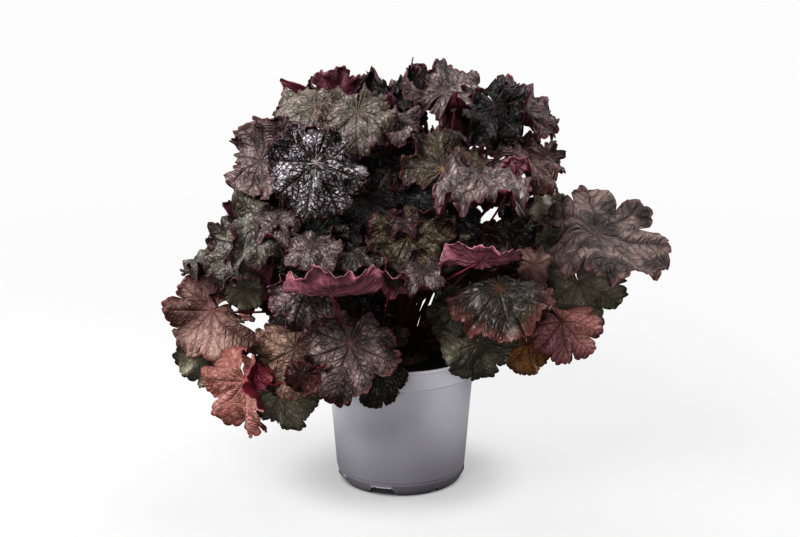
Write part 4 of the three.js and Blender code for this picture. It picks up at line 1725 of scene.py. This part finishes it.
@dataclass
class NurseryPot:
    """The round moulded pot: bead, band, tapering side, groove and a slotted foot."""

    band: float = 64.3 * MM
    band_foot: float = 100 * MM
    bead: float = 3.5 * MM
    bead_foot: float = 113.5 * MM
    shoulder: float = 63.5 * MM
    waist: float = 56.6 * MM
    groove: float = 56 * MM
    groove_at: float = 12.2 * MM
    foot: float = 51 * MM
    foot_ring: float = 1.6 * MM
    wall: float = 1.3 * MM
    lip: float = 2.2 * MM
    floor_top: float = 11 * MM
    floor_thick: float = 1.8 * MM
    slot_count: int = 7
    slot_first: float = -107.0
    slot_shapes: tuple[tuple[float, float, float], ...] = (
        (25 * MM, 17 * MM, 7.5 * MM),
        (7 * MM, 3 * MM, 4.5 * MM),
    )
    slot_lean: float = 0.55
    segments: int = 360

    def profile(self) -> Array:
        """Follows the pot's wall from the middle of its underside, up the outside and down inside.

        Returns:
            Radius and height of each point.
        """
        _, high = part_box("pot")
        rim, top = high.x, high.z
        fine = 0.25 * MM
        corners = [
            (0, self.floor_top - self.floor_thick, 0),
            (self.foot, self.floor_top - self.floor_thick, 0.5 * MM),
            (self.foot - self.foot_ring, 0, fine),
            (self.foot, 0, 0.5 * MM),
            (self.foot + 2.2 * MM, 1.6 * MM, 0.8 * MM),
            (self.foot + 3.9 * MM, 5 * MM, 1.5 * MM),
            (self.groove, self.groove_at - 1 * MM, 0.6 * MM),
            (self.groove, self.groove_at, fine),
            (self.waist, self.groove_at + 0.7 * MM, 0.3 * MM),
            (self.shoulder, self.band_foot - 0.8 * MM, 0.3 * MM),
            (self.band, self.band_foot, 0.3 * MM),
            (self.band, top - self.bead, 0.3 * MM),
            (rim, top - self.bead + 0.6 * MM, 0.4 * MM),
            (rim, top, 0.9 * MM),
            (rim - self.lip, top, 0.6 * MM),
            (self.shoulder - self.wall, self.band_foot, fine),
            (self.waist - self.wall, self.floor_top, fine),
            (0, self.floor_top, 0),
        ]
        return rounded(corners)

    def slot_height(self, turn: Array) -> Array:
        """How high the drain slots cut into the foot.

        Args:
            turn: angles round the pot.

        Returns:
            Height of the foot's lower edge at each angle: 0, and a trapezoid over each slot.
        """
        height = np.zeros_like(turn)
        for i in range(self.slot_count):
            foot, top, tall = self.slot_shapes[i % 2]
            centre = math.radians(self.slot_first + i * 360 / self.slot_count)
            away = np.abs((turn - centre + np.pi) % (2 * np.pi) - np.pi) * self.foot
            height = np.maximum(height, tall * np.clip((foot / 2 - away) / (foot / 2 - top / 2), 0, 1))
        return height

    def build(self) -> bpy.types.Object:
        """Builds the pot with its slots and its moulded plastic.

        Returns:
            The piece.
        """
        points, faces, uv = revolved(self.profile(), self.segments)
        radius = np.hypot(points[:, 0], points[:, 1])
        slot = self.slot_height(np.arctan2(points[:, 1], points[:, 0]))
        on_foot = (radius > self.foot - 2.2 * MM) & (points[:, 2] < 8 * MM)
        raised = np.where(on_foot, np.maximum(points[:, 2], slot), points[:, 2])
        outer = radius > self.foot - 0.5 * MM
        outward = np.where(outer & on_foot, (raised - points[:, 2]) * self.slot_lean, 0)
        scale = 1 + outward / np.maximum(radius, MM)
        points = np.column_stack([points[:, :2] * scale[:, None], raised])
        piece = build_piece("pot_moulded", [plain_shell(points, faces, uv)], [self.plastic()])
        return stand_in(piece, "pot")

    def plastic(self) -> bpy.types.Material:
        """Satin grey plastic with a faint grain, softly uneven gloss, painted shade and highlights.

        Returns:
            The material.
        """
        graph = Graph("pot_plastic_satin")
        place = graph.place()
        cloud = graph.noise(place, 18.0, 3.0)
        grain = graph.noise(place, 900.0, 2.0)
        height = place.part(2)
        colour = graph.mix(cloud.ease(0.3, 0.7), srgb(208, 207, 214), srgb(214, 213, 220))
        # Painted shade: darker towards the foot, and darker still below the groove.
        colour = graph.mix((1 - height.ease(0.0, self.band_foot)) * 0.9, colour, srgb(110, 108, 114))
        colour = graph.mix((1 - height.ease(0.008, self.groove_at)) * 0.7, colour, srgb(90, 88, 94))
        # Painted highlights: pale lines along the lower edges of the band and the bead.
        for edge in (self.band_foot, self.bead_foot):
            line = 1 - abs(height - edge).ease(0.3 * MM, 0.9 * MM)
            colour = graph.mix(line * 0.8, colour, srgb(232, 231, 236))
        return graph.finish(
            Base_Color=colour,
            Roughness=0.4 + (cloud - 0.5) * 0.12 + (grain - 0.5) * 0.06,
            Normal=graph.bump(grain, 0.12, 0.1 * MM),
        )


@dataclass
class Soil:
    """Damp peat mix that fills the pot up to a lumpy, grainy surface."""

    gap: float = 0.4 * MM
    lumps: float = 1.2 * MM
    rings: int = 60
    segments: int = 180

    def build(self) -> bpy.types.Object:
        """Builds the filling. Long and short ripples and random steps raise its surface in crumbs.

        Returns:
            The piece.
        """
        low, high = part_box("potting_soil")
        top, foot = high.z - self.lumps, low.z
        outer = high.x - self.gap
        rim = np.linspace(outer, 0, self.rings)[:-1]
        surface = np.stack([rim, np.full(len(rim), top)], -1)
        taper = (outer - 7 * MM, foot)
        profile = np.concatenate([[(0, foot), taper, (outer, top - 4 * MM)], surface, [(0, top)]])
        points, faces, uv = revolved(profile, self.segments)
        rng = np.random.default_rng([SEED, 900])
        flat = points[:, :2]
        crumbs = 0.5 * ripples(flat, 12, 14 * MM, rng) + 0.35 * ripples(flat, 16, 5 * MM, rng)
        crumbs += 0.3 * rng.normal(0, 0.4, len(points))
        on_top = ease(top - 1 * MM, top, points[:, 2]) * ease(outer, outer - 3 * MM, np.hypot(*flat.T))
        points[:, 2] += self.lumps * np.clip(crumbs, -1.5, 1) * on_top
        piece = build_piece("soil_filling", [plain_shell(points, faces, uv)], [self.peat()])
        return stand_in(piece, "potting_soil")

    def peat(self) -> bpy.types.Material:
        """Near-black damp peat with browner fibres.

        Returns:
            The material.
        """
        graph = Graph("peat_damp")
        place = graph.place()
        crumbs = graph.noise(place, 260.0, 5.0, 0.7)
        fibres = graph.noise(place, 60.0, 3.0)
        colour = graph.mix(crumbs.ease(0.4, 0.7), srgb(18, 14, 12), srgb(46, 34, 26))
        colour = graph.mix(fibres.ease(0.6, 0.75) * 0.5, colour, srgb(70, 52, 38))
        return graph.finish(
            Base_Color=colour,
            Roughness=0.85 + (crumbs - 0.5) * 0.2,
            Normal=graph.bump(crumbs, 0.9, 1.2 * MM),
        )


@dataclass
class Crown:
    """The short woody rootstock, knobbly with old leaf scars."""

    knobs: int = 26
    rings: int = 28
    segments: int = 96

    def build(self) -> bpy.types.Object:
        """Builds the dome. It swells towards random knob directions, and ripples roughen it.

        Returns:
            The piece.
        """
        low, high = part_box("crown")
        angle = np.linspace(0, np.pi / 2, self.rings)
        dome = np.stack([high.x * np.cos(angle), low.z + (high.z - low.z) * np.sin(angle)], -1)
        dome[-1, 0] = 0
        points, faces, uv = revolved(np.concatenate([[(0, low.z)], dome]), self.segments)
        rng = np.random.default_rng([SEED, 901])
        heart = np.array([0, 0, low.z])
        rays = unit(points - heart + 1e-9)
        sizes = np.abs(rng.normal(size=(self.knobs, 3))) * [1, 1, 0.8]
        signs = np.sign(rng.normal(size=(self.knobs, 3)) + [0, 0, 9])
        near = (rays @ unit(sizes * signs).T).max(1)
        swell = ease(0.93, 0.995, near) * 1.2 * MM - 0.8 * MM
        swell += 0.4 * MM * ripples(points, 10, 5 * MM, rng)
        above = ease(low.z, low.z + 3 * MM, points[:, 2])
        points = points + (swell * above)[:, None] * rays
        piece = build_piece("crown_rootstock", [plain_shell(points, faces, uv)], [self.bark()])
        return stand_in(piece, "crown")

    def bark(self) -> bpy.types.Material:
        """Dark brown bark with reddish bud scales.

        Returns:
            The material.
        """
        graph = Graph("rootstock_bark")
        place = graph.place()
        streaks = graph.noise(place, 140.0, 5.0, 0.7)
        colour = graph.mix(streaks.ease(0.35, 0.7), srgb(38, 24, 20), srgb(92, 52, 44))
        return graph.finish(
            Base_Color=colour,
            Roughness=0.75 + (streaks - 0.5) * 0.2,
            Normal=graph.bump(streaks, 0.8, 0.8 * MM),
        )


# ---- Studio ----
@dataclass(frozen=True)
class Softbox:
    """A rectangular light that faces the plant.

    Attributes:
        name: name of the light.
        at: its middle.
        size: its width and height.
        radiance: how bright its surface is.
    """

    name: str
    at: tuple[float, float, float]
    size: tuple[float, float]
    radiance: float

    AIM = (0.0, 0.0, 0.2)

    def build(self) -> None:
        """Adds the light. Its power is pi * width * height * radiance."""
        data = bpy.data.lights.new(self.name, "AREA")
        data.shape = "RECTANGLE"
        data.size, data.size_y = self.size
        data.energy = self.radiance * math.pi * self.size[0] * self.size[1]
        light = bpy.data.objects.new(self.name, data)
        light.location = self.at
        aim = Vector(self.AIM) - light.location
        light.rotation_euler = aim.to_track_quat("-Z", "Y").to_euler()
        bpy.context.scene.collection.objects.link(light)


@dataclass
class Studio:
    """Pale floor that fades into a white surround, softboxes and the camera."""

    floor_half: float = 6.0
    fade: tuple[float, float] = (0.16, 1.2)
    white: float = 0.685
    floor_glow: float = 0.5
    floor_albedo: float = 0.105
    bounce: float = 0.25
    spill: float = 0.15
    surround: float = 0.05
    camera_at: tuple[float, float, float] = (-0.0006, -1.574, 0.631)
    tilt: float = 15.65
    lens: float = 85.0
    softboxes: tuple[Softbox, ...] = (
        Softbox("key", (-0.75, -1.15, 1.4), (1.1, 0.8), 15.5),
        Softbox("front", (0.1, -2.2, 0.6), (1.2, 0.5), 7.5),
        Softbox("top", (0.2, 0.5, 1.7), (1.4, 0.8), 6.0),
        Softbox("left_side", (-1.5, 0.25, 0.6), (0.7, 1.2), 9.0),
        Softbox("right_side", (1.5, 0.45, 0.6), (0.7, 1.2), 7.0),
    )

    def camera(self) -> None:
        """Places the camera and makes it the scene's own."""
        data = bpy.data.cameras.new("camera")
        data.lens = self.lens
        data.sensor_width = 36.0
        camera = bpy.data.objects.new("camera", data)
        camera.location = self.camera_at
        camera.rotation_euler = (math.radians(90 - self.tilt), 0, 0)
        bpy.context.scene.collection.objects.link(camera)
        bpy.context.scene.camera = camera

    def floor(self) -> None:
        """Lays the floor: lit near the pot, and the surround's plain white further out."""
        half = self.floor_half
        corners = [(-half, -half, 0), (half, -half, 0), (half, half, 0), (-half, half, 0)]
        mesh = bpy.data.meshes.new("floor")
        mesh.from_pydata(corners, [], [(0, 1, 2, 3)])
        floor = bpy.data.objects.new("floor", mesh)
        graph = Graph("floor_white")
        place = graph.place()
        reach = graph.node("ShaderNodeVectorMath", {"operation": "LENGTH"}, {0: place}, "Value")
        far = reach.ease(*self.fade)
        seen = graph.node("ShaderNodeLightPath", None, None, "Is Camera Ray")
        glow = self.floor_glow + far * (self.white - self.floor_glow)
        glow = glow * (seen * (1 - self.spill) + self.spill) * self.contact(reach)
        albedo = (1 - far) * (seen * (1 - self.bounce) + self.bounce) * self.floor_albedo
        mesh.materials.append(
            graph.finish(
                Base_Color=graph.mix(albedo, (0.0, 0.0, 0.0), (1.0, 1.0, 1.0)),
                Roughness=0.9,
                Specular_IOR_Level=0.0,
                Emission_Color=graph.mix(glow, (0.0, 0.0, 0.0), (1.0, 1.0, 1.0)),
                Emission_Strength=1.0,
            )
        )
        bpy.context.scene.collection.objects.link(floor)

    @staticmethod
    def contact(reach: Wire) -> Wire:
        """Shade of the floor under the pot, by the distance from the pot's middle."""
        return 0.05 + reach.ease(0.048, 0.056) * 0.65 + reach.ease(0.052, 0.12) * 0.3

    def world(self) -> None:
        """Surrounds the plant with white that lights it only dimly."""
        world = bpy.data.worlds.new("surround")
        world.use_nodes = True
        nodes, links = world.node_tree.nodes, world.node_tree.links
        background = nodes["Background"]
        background.inputs["Color"].default_value = (1, 1, 1, 1)
        level = nodes.new("ShaderNodeMapRange")
        level.inputs["To Min"].default_value = self.surround
        level.inputs["To Max"].default_value = self.white
        links.new(nodes.new("ShaderNodeLightPath").outputs["Is Camera Ray"], level.inputs["Value"])
        links.new(level.outputs["Result"], background.inputs["Strength"])
        bpy.context.scene.world = world

    def build(self) -> None:
        """Sets up the whole studio."""
        self.camera()
        self.floor()
        self.world()
        bpy.context.scene.view_settings.view_transform = "Standard"
        bpy.context.scene.view_settings.look = "High Contrast"
        for softbox in self.softboxes:
            softbox.build()


def main() -> None:
    """Builds the studio and every piece of the potted plant."""
    logging.basicConfig(level=logging.INFO, format="%(message)s", force=True)
    Studio().build()
    pieces = [part.build() for part in (NurseryPot(), Soil(), Crown())]
    foliage = Foliage()
    pieces += foliage.grow() + foliage.grow_small()
    for piece in pieces:
        LOG.info("built %s", piece.name)
    triangles = sum(sum(len(face.vertices) - 2 for face in piece.data.polygons) for piece in pieces)
    LOG.info("%d pieces, %d triangles", len(pieces), triangles)


if __name__ == "__main__":
    main()
